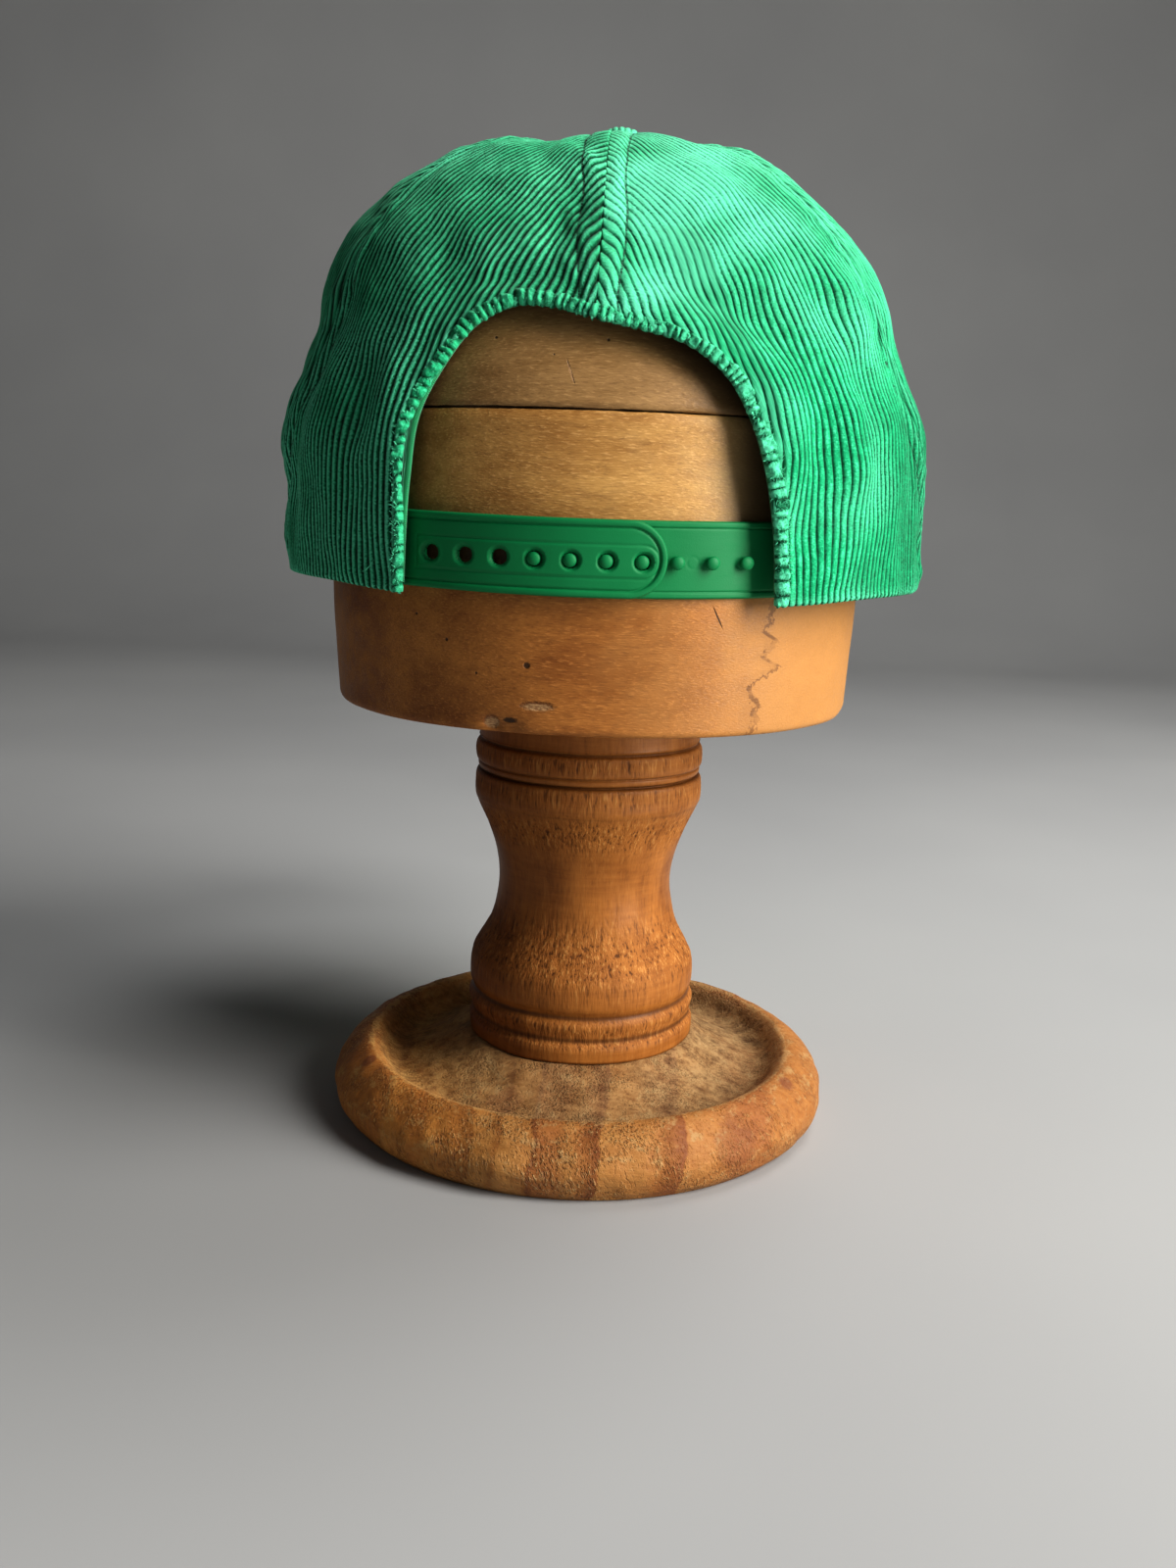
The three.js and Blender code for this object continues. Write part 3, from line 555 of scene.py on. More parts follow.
@dataclass(frozen=True)
class Corduroy(Finish):
    """Cut pile in wales: dark ground between them with painted shade in the grooves, bright crests with
    partly painted highlights, mint where it is rubbed.
    """

    ground_and_groove_shade: tuple = (0.0, 0.018, 0.007)
    flank: tuple = (0.001, 0.15, 0.06)
    crest: tuple = (0.004, 0.41, 0.17)
    # whitish tips of the crests' tufts: partly a painted highlight
    tip: tuple = (0.07, 0.66, 0.36)
    rubbed: tuple = (0.14, 0.72, 0.44)
    # whiter mint at the top: partly sun-fade, partly painted sheen
    fade_and_sheen: tuple = (0.11, 0.6, 0.33)
    stitch: float = 3.3

    def inputs(self, nodes: Nodes) -> dict[str, object]:
        """Inputs from the cloth's map and the piece's point values."""
        cloth, where = nodes.cloth(), nodes.where()
        pile, wear = nodes.value("pile"), nodes.value("wear")
        tuft = nodes.noise(nodes.scaled(cloth, (1.0, 1.4, 1.0)), 1.3, 4.0, 0.72)
        fibre = nodes.noise(nodes.scaled(cloth, (1.0, 0.4, 1.0)), 0.7, 3.0, 0.6)
        cloud = nodes.noise(where, 75.0, 3.0, 0.55)
        # Colour follows the height on the wale: the near-black grooves are painted shade as well as the
        # darker ground, and the whitish tip colour on the highest tufts is partly a painted highlight.
        tone = pile * 0.78
        for noise, amount in ((tuft, 0.95), (fibre, 0.7), (cloud, 0.3)):
            tone = tone + (noise - 0.5) * amount
        tone = nodes.math("ADD", tone, 0.08, clamp=True)
        stops = [(0.03, self.ground_and_groove_shade), (0.42, self.flank), (0.8, self.crest), (1.0, self.tip)]
        colour = nodes.ramp(tone, stops)
        # Whiter mint towards the top of the crown on the lighter pile: partly sun-fade, partly painted sheen
        # where the light grazes the top.
        fade_and_sheen = nodes.span(nodes.parts(where)[2], 0.215, 0.285) * nodes.span(cloud, 0.3, 0.7, (0.3, 0.8))
        fade_and_sheen = fade_and_sheen * nodes.span(tone, 0.3, 0.8)
        colour = nodes.mix(fade_and_sheen, colour, self.fade_and_sheen)
        brushed = nodes.span(tuft + (pile - 0.5) * 0.45, 0.42, 0.7) * wear
        colour = nodes.mix(brushed, colour, self.rubbed)
        sewn = nodes.math("COSINE", nodes.value("run") * (2 * np.pi / self.stitch))
        sewn = nodes.span(sewn, -0.6, 0.8, (0.5, 0.95)) * nodes.span(tuft, 0.62, 0.48)
        sewn = sewn * nodes.span(abs(nodes.value("line")), 0.36, 0.14)
        colour = nodes.mix(sewn, colour, self.ground_and_groove_shade)
        nap = tuft * 0.9 + fibre * 0.8 - sewn * 1.5
        return {
            "Base Color": colour,
            "Roughness": nodes.span(pile, 0.0, 1.0, (1.0, 0.82)),
            "Normal": nodes.bump(nap, 0.7, 0.0006),
            "Specular IOR Level": 0.2,
            "Sheen Weight": 0.28,
            "Sheen Roughness": 0.42,
            "Sheen Tint": (0.5, 1.0, 0.72, 1.0),
        }


@dataclass(frozen=True)
class Tape(Finish):
    """Plain woven tape, a little darker than the pile."""

    colour: tuple = (0.008, 0.34, 0.12)
    pitch: float = 0.5

    def inputs(self, nodes: Nodes) -> dict[str, object]:
        """Inputs from the cloth's map."""
        weave = nodes.effect(Effect.WOVEN, nodes.cloth(), Pitch=self.pitch)["Height"]
        cloud = nodes.noise(nodes.where(), 160.0, 3.0, 0.6)
        dark = tuple(0.35 * part for part in self.colour)
        tone = weave * 0.6 + cloud * 0.5
        colour = nodes.ramp(tone, [(0.15, dark), (0.85, self.colour)])
        return {
            "Base Color": colour,
            "Roughness": nodes.span(weave, 0.0, 1.0, (0.95, 0.75)),
            "Normal": nodes.bump(weave, 0.6, 0.0003),
            "Sheen Weight": 0.15,
        }


@dataclass(frozen=True)
class MouldedPlastic(Finish):
    """Semi-matt moulded plastic, with fine pitting, handling wear and a little dust."""

    colour: tuple = (0.0, 0.175, 0.05)
    dusty: tuple = (0.006, 0.24, 0.08)

    def inputs(self, nodes: Nodes) -> dict[str, object]:
        """Inputs from Object coordinates."""
        where = nodes.where()
        dirt = nodes.effect(Effect.SOILING, where, Size=70.0, Edge=0.5)
        pits = nodes.noise(where, 2600.0, 2.0, 0.5)
        streaks = nodes.noise(nodes.scaled(where, (0.25, 1.0, 2.0)), 420.0, 3.0, 0.6)
        colour = nodes.mix(dirt["Blotch"] * 0.35, self.colour, self.dusty)
        colour = nodes.mix(dirt["Speck"] * 0.25, colour, self.dusty)
        return {
            "Base Color": colour,
            "Roughness": (streaks + dirt["Blotch"]) * 0.16 + 0.36,
            "Normal": nodes.bump(pits + streaks, 0.12, 0.0002),
            "Specular IOR Level": 0.26,
        }


@dataclass(frozen=True)
class BlockWood(Finish):
    """Close-grained wood with its grain across, waxed and handled, paler where the cap covers it, with
    painted light and shade.
    """

    pale: tuple
    deep: tuple
    fleck: tuple
    covered: tuple
    # colour towards the right side, set for each board: painted light on the lit lower board, painted shade
    # on the upper board under the arch's edge
    worn: tuple = (0.5, 0.27, 0.095)
    # dark marks: real holes, and spots of painted shade where the strap's open holes show the block
    holes: tuple = ()
    chips: tuple = ()
    clouded: float = 0.5
    stained: bool = False

    def inputs(self, nodes: Nodes) -> dict[str, object]:
        """Inputs from Object coordinates."""
        where = nodes.where()
        parts = nodes.parts(where)
        grain = nodes.effect(Effect.WOOD_FLECK, where, Stretch=5.5, Size=2300.0)
        coarse = nodes.effect(Effect.WOOD_FLECK, where, Stretch=7.0, Size=800.0)
        dirt = nodes.effect(Effect.SOILING, where, Size=24.0, Edge=0.42)
        streak = grain["Streak"] * 0.6 + coarse["Streak"] * 0.5
        clouds = dirt["Blotch"] - 0.5
        aside = nodes.span(parts[0], -0.01, 0.06, (0.12, self.clouded))
        colour = nodes.ramp(streak + clouds * aside, [(0.28, self.deep), (0.82, self.pale)])
        colour = nodes.mix(grain["Fleck"] * 0.34, colour, self.fleck)
        colour = nodes.mix(coarse["Fleck"] * 0.22, colour, self.fleck)
        light = tuple(min(1.0, 1.35 * part + 0.02) for part in self.pale)
        colour = nodes.mix(grain["Dash"] * 0.4, colour, light)
        # Towards the right side (-X) the colour goes to the worn tone: painted light on the lower board,
        # where the light falls, and painted shade on the upper board under the arch's right edge.
        ends = parts[0] + clouds * 0.04
        colour = nodes.mix(nodes.span(ends, -0.002, -0.062, (0.0, 0.8)), colour, self.worn)
        colour = nodes.tinted(nodes.span(parts[2], 0.166, 0.188, (0.0, 0.85)), colour, self.covered)
        # Painted shadow: a dark band down the block's right side inside the arch, where the arch's right
        # edge shades it; its edge moves left with height above the joint.
        raised = nodes.math("MAXIMUM", parts[2] - 0.215, 0.0) * 1.1
        under = nodes.span(parts[0] - raised, -0.026, -0.041)
        painted_arch_shadow = under * nodes.span(parts[2], 0.176, 0.188)
        colour = nodes.mix(painted_arch_shadow * 0.85, colour, (0.03, 0.014, 0.005))
        height = grain["Height"]
        if self.stained:
            colour = nodes.mix(water_mark(nodes, where), colour, (0.1, 0.034, 0.008))
        if self.chips:
            rims = [(x + 0.25, z + 0.35, 1.1 * a, 1.15 * b, lean) for x, z, a, b, lean in self.chips]
            rim, chip = marks(nodes, where, rims, 0.3), marks(nodes, where, self.chips, 0.3)
            torn = nodes.noise(nodes.scaled(where, (0.5, 1.0, 1.6)), 1900.0, 2.0, 0.6)
            torn = nodes.span(torn, 0.4, 0.6, (0.35, 0.9))
            colour = nodes.mix(rim * 0.9, colour, self.fleck)
            colour = nodes.mix(chip * torn, colour, (0.5, 0.3, 0.14))
            height = height - rim * 2.5
        # The marks, near black and sunk a little, are the real holes and the joint, and also spots of
        # painted shade behind the strap's open holes.
        hole = marks(nodes, where, self.holes)
        parted = abs(parts[2] - JOINT * MM)
        wander = (nodes.noise(where, 130.0, 3.0, 0.6) - 0.45) * 0.0008
        wide = nodes.span(parts[0], -0.03, 0.03, (0.00012, 0.00032)) + wander
        hole = nodes.math("MAXIMUM", hole, nodes.math("LESS_THAN", parted, wide))
        colour = nodes.mix(hole * 0.9, colour, (0.02, 0.008, 0.002))
        height = height - hole * 3.0
        return {
            "Base Color": colour,
            "Roughness": nodes.span(streak, 0.4, 0.75, (0.44, 0.6)),
            "Normal": nodes.bump(height, 0.5, 0.00025),
            "Specular IOR Level": 0.32,
        }


def water_mark(nodes: Nodes, where: Value) -> Value:
    """Wavy dried water line down the back of the lower block: a thin band beside a given curve.

    Args:
        nodes: writer of the material.
        where: Object coordinates.

    Returns:
        Strength of the mark, from 0 to 1.
    """
    curve = (
        (134.5, -41.0), (136.7, -42.6), (139.2, -43.7), (141.2, -42.3), (143.4, -43.7), (146.6, -41.4),
        (148.3, -41.1), (150.3, -44.4), (153.0, -49.2), (155.7, -44.4), (160.0, -48.0), (162.2, -44.4),
        (168.0, -46.0),
    )
    parts = nodes.parts(where)
    ragged = nodes.noise(where, 520.0, 3.0, 0.65) - 0.5
    height = parts[2] + ragged * 0.004
    share = nodes.span(height, 0.134, 0.169, how="LINEAR")
    stops = [((z - 134) / 35, ((x + 60) / 30,) * 3) for z, x in curve]
    place = nodes.add("RGBToBW", {0: nodes.ramp(share, stops)})[0]
    centre = place * 0.03 - 0.06
    off = parts[0] + ragged * 0.006 - centre
    band = nodes.span(abs(off), 0.0005, 0.0012, (1.0, 0.0))
    strength = nodes.span(nodes.noise(where, 160.0, 2.0, 0.5), 0.36, 0.6, (0.2, 0.72))
    inside = nodes.span(off, 0.006, 0.0, (0.0, 0.16)) * nodes.span(off, -0.0005, 0.0003)
    mark = nodes.math("MAXIMUM", band * strength, inside)
    behind = nodes.span(parts[1], 0.0, 0.02) * nodes.span(parts[2], 0.1725, 0.166)
    return mark * behind


def marks(nodes: Nodes, where: Value, table: tuple, soft: float = 0.35) -> Value:
    """Ragged marks on the back of a piece: leaning ellipses, all as one mask.

    Args:
        nodes: writer of the material.
        where: Object coordinates.
        table: place across and up, half-sizes across and along, and lean, in millimetres.
        soft: how far a mark's edge fades, as part of its size.

    Returns:
        Mask, 1 inside a mark.
    """
    parts = nodes.parts(where)
    ragged = (nodes.noise(where, 1100.0, 3.0, 0.65) - 0.5) * 0.8
    total = 0.0
    for x, z, across, along, lean in table:
        above = parts[2] - z * MM
        aside = parts[0] - x * MM + above * lean
        aside = (aside / (across * MM)) ** 2.0
        above = (above / (along * MM)) ** 2.0
        away = nodes.math("SQRT", aside + above)
        mask = nodes.span(away + ragged, 1 + soft, 1 - soft)
        total = nodes.math("MAXIMUM", total, mask)
    return total * nodes.span(parts[1], 0.0, 0.02)


@dataclass(frozen=True)
class PostWood(Finish):
    """Turned orange-brown wood, its torn grain in upright flecks, its grooves dark and painted shade on its
    left side.
    """

    pale: tuple = (0.44, 0.175, 0.036)
    deep: tuple = (0.17, 0.05, 0.007)
    torn: tuple = (0.06, 0.017, 0.003)
    lifted: tuple = (0.58, 0.3, 0.09)

    def inputs(self, nodes: Nodes) -> dict[str, object]:
        """Inputs from Object coordinates; wear marks the torn places."""
        where = nodes.where()
        torn, groove = nodes.value("wear"), nodes.value("pile")
        upright = nodes.add("Mapping", {"Vector": where, "Rotation": (0.0, np.pi / 2, 0.0)})[0]
        grain = nodes.effect(Effect.WOOD_FLECK, upright, Stretch=6.5, Size=1150.0)
        dirt = nodes.effect(Effect.SOILING, where, Size=34.0, Edge=0.5)
        turned = nodes.noise(nodes.scaled(where, (0.1, 0.1, 1.0)), 700.0, 4.0, 0.7)
        tone = grain["Streak"] * 0.62 + dirt["Blotch"] * 0.26 + (turned - 0.3) * 0.42
        colour = nodes.ramp(tone, [(0.22, self.deep), (0.8, self.pale)])
        flecks = grain["Fleck"] * nodes.span(torn, 0.0, 1.0, (0.2, 0.85))
        colour = nodes.mix(flecks, colour, self.torn)
        lifted = grain["Dash"] * nodes.span(torn, 0.0, 1.0, (0.1, 0.55))
        colour = nodes.mix(lifted, colour, self.lifted)
        colour = nodes.mix(nodes.span(groove, 0.0, 1.0, (0.85, 0.0)), colour, self.torn)
        # Painted shade: the left side (+X), away from the light, is darker and browner, broken up by the
        # blotches.
        painted_left_shade = nodes.span(nodes.parts(where)[0], -0.005, 0.036)
        painted_left_shade = painted_left_shade * nodes.span(dirt["Blotch"], 0.0, 1.0, (0.9, 0.5))
        colour = nodes.tinted(painted_left_shade, colour, (0.55, 0.4, 0.25))
        height = grain["Height"] * nodes.span(torn, 0.0, 1.0, (0.2, 1.5))
        return {
            "Base Color": colour,
            "Roughness": nodes.span(torn, 0.0, 1.0, (0.42, 0.72)),
            "Normal": nodes.bump(height, 0.7, 0.0005),
            "Specular IOR Level": 0.22,
        }


@dataclass(frozen=True)
class BaseWood(Finish):
    """Flat-sawn round foot: growth bands across its rim, rough end grain and a dusty dish.

    A growth band darkens to a sharp edge, past which the next one starts pale. The edges lean
    with height and are listed across X in millimetres.
    """

    pale: tuple = (0.46, 0.23, 0.07)
    mid: tuple = (0.32, 0.135, 0.034)
    deep: tuple = (0.15, 0.048, 0.014)
    dusty: tuple = (0.33, 0.215, 0.1)
    stain: tuple = (0.13, 0.036, 0.022)
    # place across in millimetres, how dark, how red
    bands: tuple = (
        (-76.0, 0.35, 0.3), (-60.0, 0.4, 0.35), (-56.0, 0.55, 0.9), (-46.0, 0.5, 0.8), (-42.0, 0.35, 0.3),
        (-30.2, 0.3, 0.25), (-29.6, 0.85, 0.8), (-24.0, 0.6, 0.6), (-18.0, 0.25, 0.1), (-7.6, 0.15, 0.0),
        (-7.0, 0.85, 0.7), (-2.5, 0.5, 0.6), (1.0, 0.2, 0.1), (5.0, 0.35, 0.7), (11.0, 0.45, 0.9),
        (12.4, 1.0, 0.3), (13.2, 0.3, 0.1), (17.0, 0.1, 0.0), (21.0, 0.1, 0.0), (22.0, 0.55, 0.2),
        (25.0, 0.15, 0.0), (30.0, 0.1, 0.0), (31.0, 0.5, 0.2), (43.0, 0.35, 0.1), (44.0, 0.6, 0.3),
        (56.0, 0.3, 0.2), (57.5, 0.65, 0.4), (78.0, 0.5, 0.5),
    )
    lean: float = 0.12

    def inputs(self, nodes: Nodes) -> dict[str, object]:
        """Inputs from Object coordinates; wear is 1 on the dish's floor."""
        where = nodes.where()
        floor = nodes.value("wear")
        parts = nodes.parts(where)
        blotch = nodes.effect(Effect.SOILING, where, Size=24.0, Edge=0.4)["Blotch"]
        band, red = self.growth(nodes, where, parts)
        leaning = nodes.add("Mapping", {"Vector": where, "Rotation": (0.0, 1.25, 0.0)})[0]
        grain = nodes.effect(Effect.WOOD_FLECK, leaning, Stretch=3.0, Size=1300.0)
        soft = nodes.noise(nodes.scaled(where, (0.35, 1.0, 1.0)), 420.0, 5.0, 0.65)
        tone = 0.95 - band * 0.7 + (soft - 0.5) * 0.9
        tone = nodes.math("SUBTRACT", tone, blotch * 0.22, clamp=True)
        colour = nodes.ramp(tone, [(0.12, self.deep), (0.5, self.mid), (0.95, self.pale)])
        colour = nodes.mix(red * 0.4, colour, (0.25, 0.068, 0.024))
        patches = nodes.span(nodes.noise(where, 65.0, 4.0, 0.65), 0.42, 0.58)
        rough = patches * nodes.span(parts[0], -0.05, 0.01, (0.45, 1.0))
        torn = grain["Dash"] * (rough * 0.9)
        colour = nodes.mix(torn, colour, (0.56, 0.34, 0.14))
        scuffs = nodes.noise(nodes.scaled(where, (1.0, 0.6, 1.6)), 190.0, 5.0, 0.72)
        scuffed = nodes.span(scuffs, 0.54, 0.66) * nodes.span(parts[2], 0.004, 0.014, (0.25, 0.6))
        colour = nodes.mix(scuffed, colour, (0.42, 0.27, 0.115))
        level = nodes.scaled(where, (1.0, 1.0, 0.0))
        away = nodes.add("VectorMath", {0: level}, operation="LENGTH")["Value"]
        crest = abs(away - 0.068) + (scuffs - 0.5) * 0.012
        colour = nodes.mix(nodes.span(crest, 0.0014, 0.0002, (0.0, 0.5)), colour, (0.5, 0.32, 0.14))
        pits = grain["Fleck"] * (0.15 + rough * 0.5)
        colour = nodes.mix(pits, colour, (0.13, 0.05, 0.015))
        dust = floor * nodes.span(blotch, 0.0, 1.0, (0.9, 0.45))
        swirl = (soft - 0.5) * 1.2 + (scuffs - 0.5) * 1.4
        stops = [(0.2, (0.1, 0.058, 0.027)), (0.6, self.dusty), (1.0, (0.38, 0.27, 0.14))]
        dusty = nodes.ramp(swirl + 0.5, stops)
        colour = nodes.mix(dust, colour, dusty)
        for x, y, z, wide, strength in (
            (-35.0, 50.0, 16.0, 6.5, 0.85), (22.0, 47.0, 18.0, 7.0, 0.25), (66.0, 28.0, 20.0, 3.2, 0.7),
            (-65.0, 34.0, 20.5, 3.6, 0.55), (-46.0, 62.0, 12.0, 9.0, 0.3),
        ):
            spot = self.spot(nodes, where, (x, y, z), wide)
            colour = nodes.mix(spot * strength, colour, self.stain)
        colour = nodes.tinted(nodes.span(parts[0], 0.015, 0.065), colour, (1.7, 1.6, 1.2))
        height = soft * 0.8 + torn * 0.9 - pits * 0.9
        return {
            "Base Color": colour,
            "Roughness": nodes.span(floor, 0.0, 1.0, (0.55, 0.8)),
            "Normal": nodes.bump(height, 0.9, 0.0009),
            "Specular IOR Level": 0.2,
        }

    def growth(self, nodes: Nodes, where: Value, parts: object) -> tuple:
        """How dark and how red the growth band is, both from 0 to 1."""
        warp = nodes.noise(where, 38.0, 4.0, 0.6) - 0.5
        across = parts[0] + warp * 0.011 + parts[2] * self.lean
        share = nodes.span(across, -0.08, 0.08, how="LINEAR")
        stops = [((place + 1.5 + 80) / 160, (dark, red, 0.0)) for place, dark, red in self.bands]
        both = nodes.add("SeparateColor", {0: nodes.ramp(share, stops)})
        return both[0], both[1]

    @staticmethod
    def spot(nodes: Nodes, where: Value, place: tuple, wide: float) -> Value:
        """Soft ragged spot round a place in millimetres."""
        centre = tuple(part * MM for part in place)
        away = nodes.add("VectorMath", {0: where, 1: centre}, operation="DISTANCE")["Value"]
        ragged = nodes.noise(where, 240.0, 3.0, 0.6) - 0.5
        away = away + ragged * (wide * MM)
        return nodes.span(away, wide * MM, wide * MM * 0.6)


@dataclass(frozen=True)
class Paper(Finish):
    """Pale grey studio paper."""

    def inputs(self, nodes: Nodes) -> dict[str, object]:
        """Inputs from Object coordinates."""
        tone = nodes.noise(nodes.where(), 2.5, 3.0, 0.5)
        return {
            "Base Color": nodes.ramp(tone, [(0.3, (0.34, 0.34, 0.34)), (0.7, (0.38, 0.38, 0.376))]),
            "Roughness": nodes.span(tone, 0.3, 0.7, (0.8, 0.9)),
        }


# The crown's shape


@dataclass
class CrownShape:
    """The crown as its solids have it: an oval that closes to a dome, with dents and ridges."""

    # height, then half-sizes to the left, right, back and front
    sections: Array = table(
        (171.5, 92.0, 97.0, 96.0, 96.5), (183.0, 93.2, 96.8, 96.4, 97.2), (195.0, 93.8, 96.6, 96.0, 97.6),
        (206.0, 94.6, 96.6, 95.0, 97.4), (217.0, 92.4, 95.2, 93.0, 96.4), (228.0, 88.0, 90.2, 89.6, 94.4),
        (239.0, 84.2, 86.2, 85.2, 91.4), (250.0, 82.4, 83.6, 79.3, 86.8), (260.5, 79.2, 79.0, 72.3, 80.8),
        (271.0, 72.0, 70.4, 63.6, 72.4), (281.0, 61.4, 59.6, 53.0, 61.4), (289.0, 48.6, 48.8, 40.8, 48.2),
        (294.0, 34.9, 33.6, 28.0, 33.6), (296.6, 18.6, 16.6, 14.5, 17.2), (297.3, 0.0, 0.0, 0.0, 0.0),
    )
    # azimuth, height, across, along, lean, depth
    folds: Array = table(
        (-30, 295.3, 12.5, 16, 0, -5.2), (46, 295, 10, 12, 0, -1.7), (18, 246, 6.5, 22, -61, -3.0),
        (22, 268, 15, 14, 0, 1.6), (14, 236, 7, 18, -60, 2.2), (29, 213, 6, 20, -18, 1.6),
        (47, 250, 7, 26, -15, 2.0), (42, 243, 5, 8, -10, -1.4), (62, 209, 4, 20, 0, -1.6),
        (34, 197, 6, 17, 8, -2.2), (42, 205, 6, 26, 0, 1.8), (-10, 257, 4, 11, 0, -1.5),
        (-21, 257, 9, 12, 0, 1.8), (-18, 247, 3.5, 10, 75, -1.3), (-80, 257, 6, 14, 0, -2.0),
        (-58, 226, 6, 20, 8, -2.4), (-41, 212, 6, 16, 6, -2.0), (-63, 196, 6, 14, 0, -1.8),
        (-88, 197, 34, 10, 0, -2.4), (-34, 224, 6, 24, 0, 1.6), (-19, 260, 9, 14, 0, -1.8),
        (180, 262, 30, 20, 0, 1.5), (-140, 268, 14, 18, 30, -2.0), (135, 262, 14, 20, -25, -1.8),
    )
    # the arch's edge from its left corner over the top: azimuth, height
    arch: Array = table(
        (-30.9, 171.5), (-30.5, 184.0), (-30.7, 198.0), (-29.8, 212.0), (-26.3, 225.0), (-21.6, 236.0),
        (-15.0, 241.2), (-8.0, 240.6), (-1.5, 237.8), (6.0, 235.6), (13.0, 232.3), (19.4, 225.4),
        (22.9, 215.5), (25.4, 203.0), (27.4, 187.0), (28.2, 171.5),
    )
    arch_top_row: int = 8
    rim_height: float = 171.5
    apex: tuple = (-3.2, 0.7)
    fold_reach: float = 60.0
    dome_centre: float = 215.0
    corner: tuple = (28.0, 14.0, 1.8, 0.16)
    # roof-like rise beside the centre seam: height, half-widths, width of its foot, from and to
    gable: tuple = (3.2, 16.0, 13.0, 32.0, 226.0, 297.0)
    back_seam: tuple = (56.0, 24.0)
    front_seam: tuple = (108.0, 11.0)
    seam_swing: tuple = (0.6, 1.4)
    top_hole: float = 3.6
    cloth: float = 1.6

    def __post_init__(self) -> None:
        """Works out what the tables imply: heights, the top, the arch's edge and the folds."""
        rises = np.linspace(0, 1, 4001)
        section = self.section(rises)
        self.height_table = (section[:, 0], rises)
        self.top = float(rises[(section[:, 1] > self.top_hole) | (rises < 0.9)].max())
        azimuth, height = self.arch[self.arch_top_row]
        self.crest = (float(azimuth), float(self.rise_at(height)))
        turn = np.radians(self.folds[:, 0])
        centre = self.smooth(self.folds[:, 0], self.rise_at(self.folds[:, 1]))
        out = self.outward(centre)
        side = np.stack([-np.cos(turn), -np.sin(turn), 0 * turn], -1)
        climb = np.cross(side, out)
        climb *= np.where(climb[:, 2:] < 0, -1, 1)
        self.placed = list(zip(centre, out, side, climb, self.folds))
        rises = np.linspace(0, 1, 400)
        ridge = self.smooth(self.centre_seam(rises), rises)
        self.seam_place = (ridge[:, 2], ridge[:, 0])
        edge = catmull(
            self.arch,
            np.linspace(0, len(self.arch) - 1, ARCH_STEPS * (len(self.arch) - 1) + 1),
            2 * self.arch[0] - self.arch[1],
            2 * self.arch[-1] - self.arch[-2],
        )
        self.arch_edge = np.stack([edge[:, 0], np.maximum(edge[:, 1], self.rim_height)], -1)
        self.arch_split = ARCH_STEPS * self.arch_top_row

    def section(self, rise: Array) -> Array:
        """Height and four half-sizes at a rise. Past the top the oval comes down again."""
        rows = self.sections
        after = rows[-2] * np.array([1, -1, -1, -1, -1])
        return catmull(rows, np.asarray(rise) * (len(rows) - 1), 2 * rows[0] - rows[1], after)

    def rise_at(self, height: Array) -> Array:
        """Rise at which the crown reaches a height."""
        return np.interp(height, *self.height_table)

    def smooth(self, azimuth: Array, rise: Array) -> Array:
        """Point before the folds: the superellipse of the section in one direction."""
        azimuth, rise = np.broadcast_arrays(np.asarray(azimuth, float), np.asarray(rise, float))
        turn = np.radians(azimuth)
        height, left, right, back, front = np.moveaxis(self.section(rise), -1, 0)
        across, ahead = np.sin(turn), np.cos(turn)
        half_x = np.maximum(np.where(across > 0, right, left), 1e-6)
        half_y = np.maximum(np.where(ahead > 0, back, front), 1e-6)
        shape = np.abs(across / half_x) ** OVAL_POWER + np.abs(ahead / half_y) ** OVAL_POWER
        radius = shape ** (-1 / OVAL_POWER)
        aside = self.apex[0] * (np.maximum(rise - self.apex[1], 0) / (1 - self.apex[1])) ** 2
        return np.stack([aside - radius * across, radius * ahead, height], -1)

    def outward(self, points: Array) -> Array:
        """Outward direction: level below the dome, away from its centre within it."""
        climb = np.maximum(points[..., 2] - self.dome_centre, 0)
        return unit(np.stack([points[..., 0], points[..., 1], climb], -1))

    def fold_height(self, points: Array) -> Array:
        """All folds together: a Gaussian hill or hollow for each, along its own directions."""
        total = np.zeros(points.shape[:-1])
        for centre, out, side, climb, (_, _, across, along, lean, depth) in self.placed:
            away = points - centre
            level, up, through = away @ side, away @ climb, away @ out
            cos, sin = np.cos(np.radians(lean)), np.sin(np.radians(lean))
            u = (level * cos - up * sin) / across
            v = (level * sin + up * cos) / along
            total += depth * np.exp(-(u**2) - v**2 - (through / self.fold_reach) ** 2)
        height, wide, right_wide, base_wide, low, high = self.gable
        aside = points[..., 0] - np.interp(points[..., 2], *self.seam_place)
        wide = np.where(aside > 0, wide, right_wide)
        roof = np.exp(-np.sqrt(aside**2 + 1) / wide) - 0.45 * bump(aside, base_wide)
        climbed = held((points[..., 2] - low) / 12) * held((high - points[..., 2]) / 8)
        return total + height * roof * climbed * (points[..., 1] > 0)

    def point(self, azimuth: Array, rise: Array, depth: float = 0.0) -> Array:
        """Point of the crown, a depth inside its outer face, with its folds and arch corners."""
        azimuth, rise = np.broadcast_arrays(np.asarray(azimuth, float), np.asarray(rise, float))
        points = self.smooth(azimuth, rise)
        points = points + self.outward(points) * (self.fold_height(points) - depth)[..., None]
        centre, width, drop, fades = self.corner
        near = np.maximum(1 - rise / fades, 0)
        points[..., 2] -= drop * bump(np.abs(azimuth) - centre, width) * near
        return points

    def normal(self, azimuth: Array, rise: Array) -> Array:
        """Outward normal from small steps along azimuth and rise."""
        rise = np.minimum(rise, 0.995)
        across = self.point(azimuth + 0.05, rise) - self.point(azimuth - 0.05, rise)
        upward = self.point(azimuth, rise + 5e-4) - self.point(azimuth, rise - 5e-4)
        return unit(np.cross(across, upward))

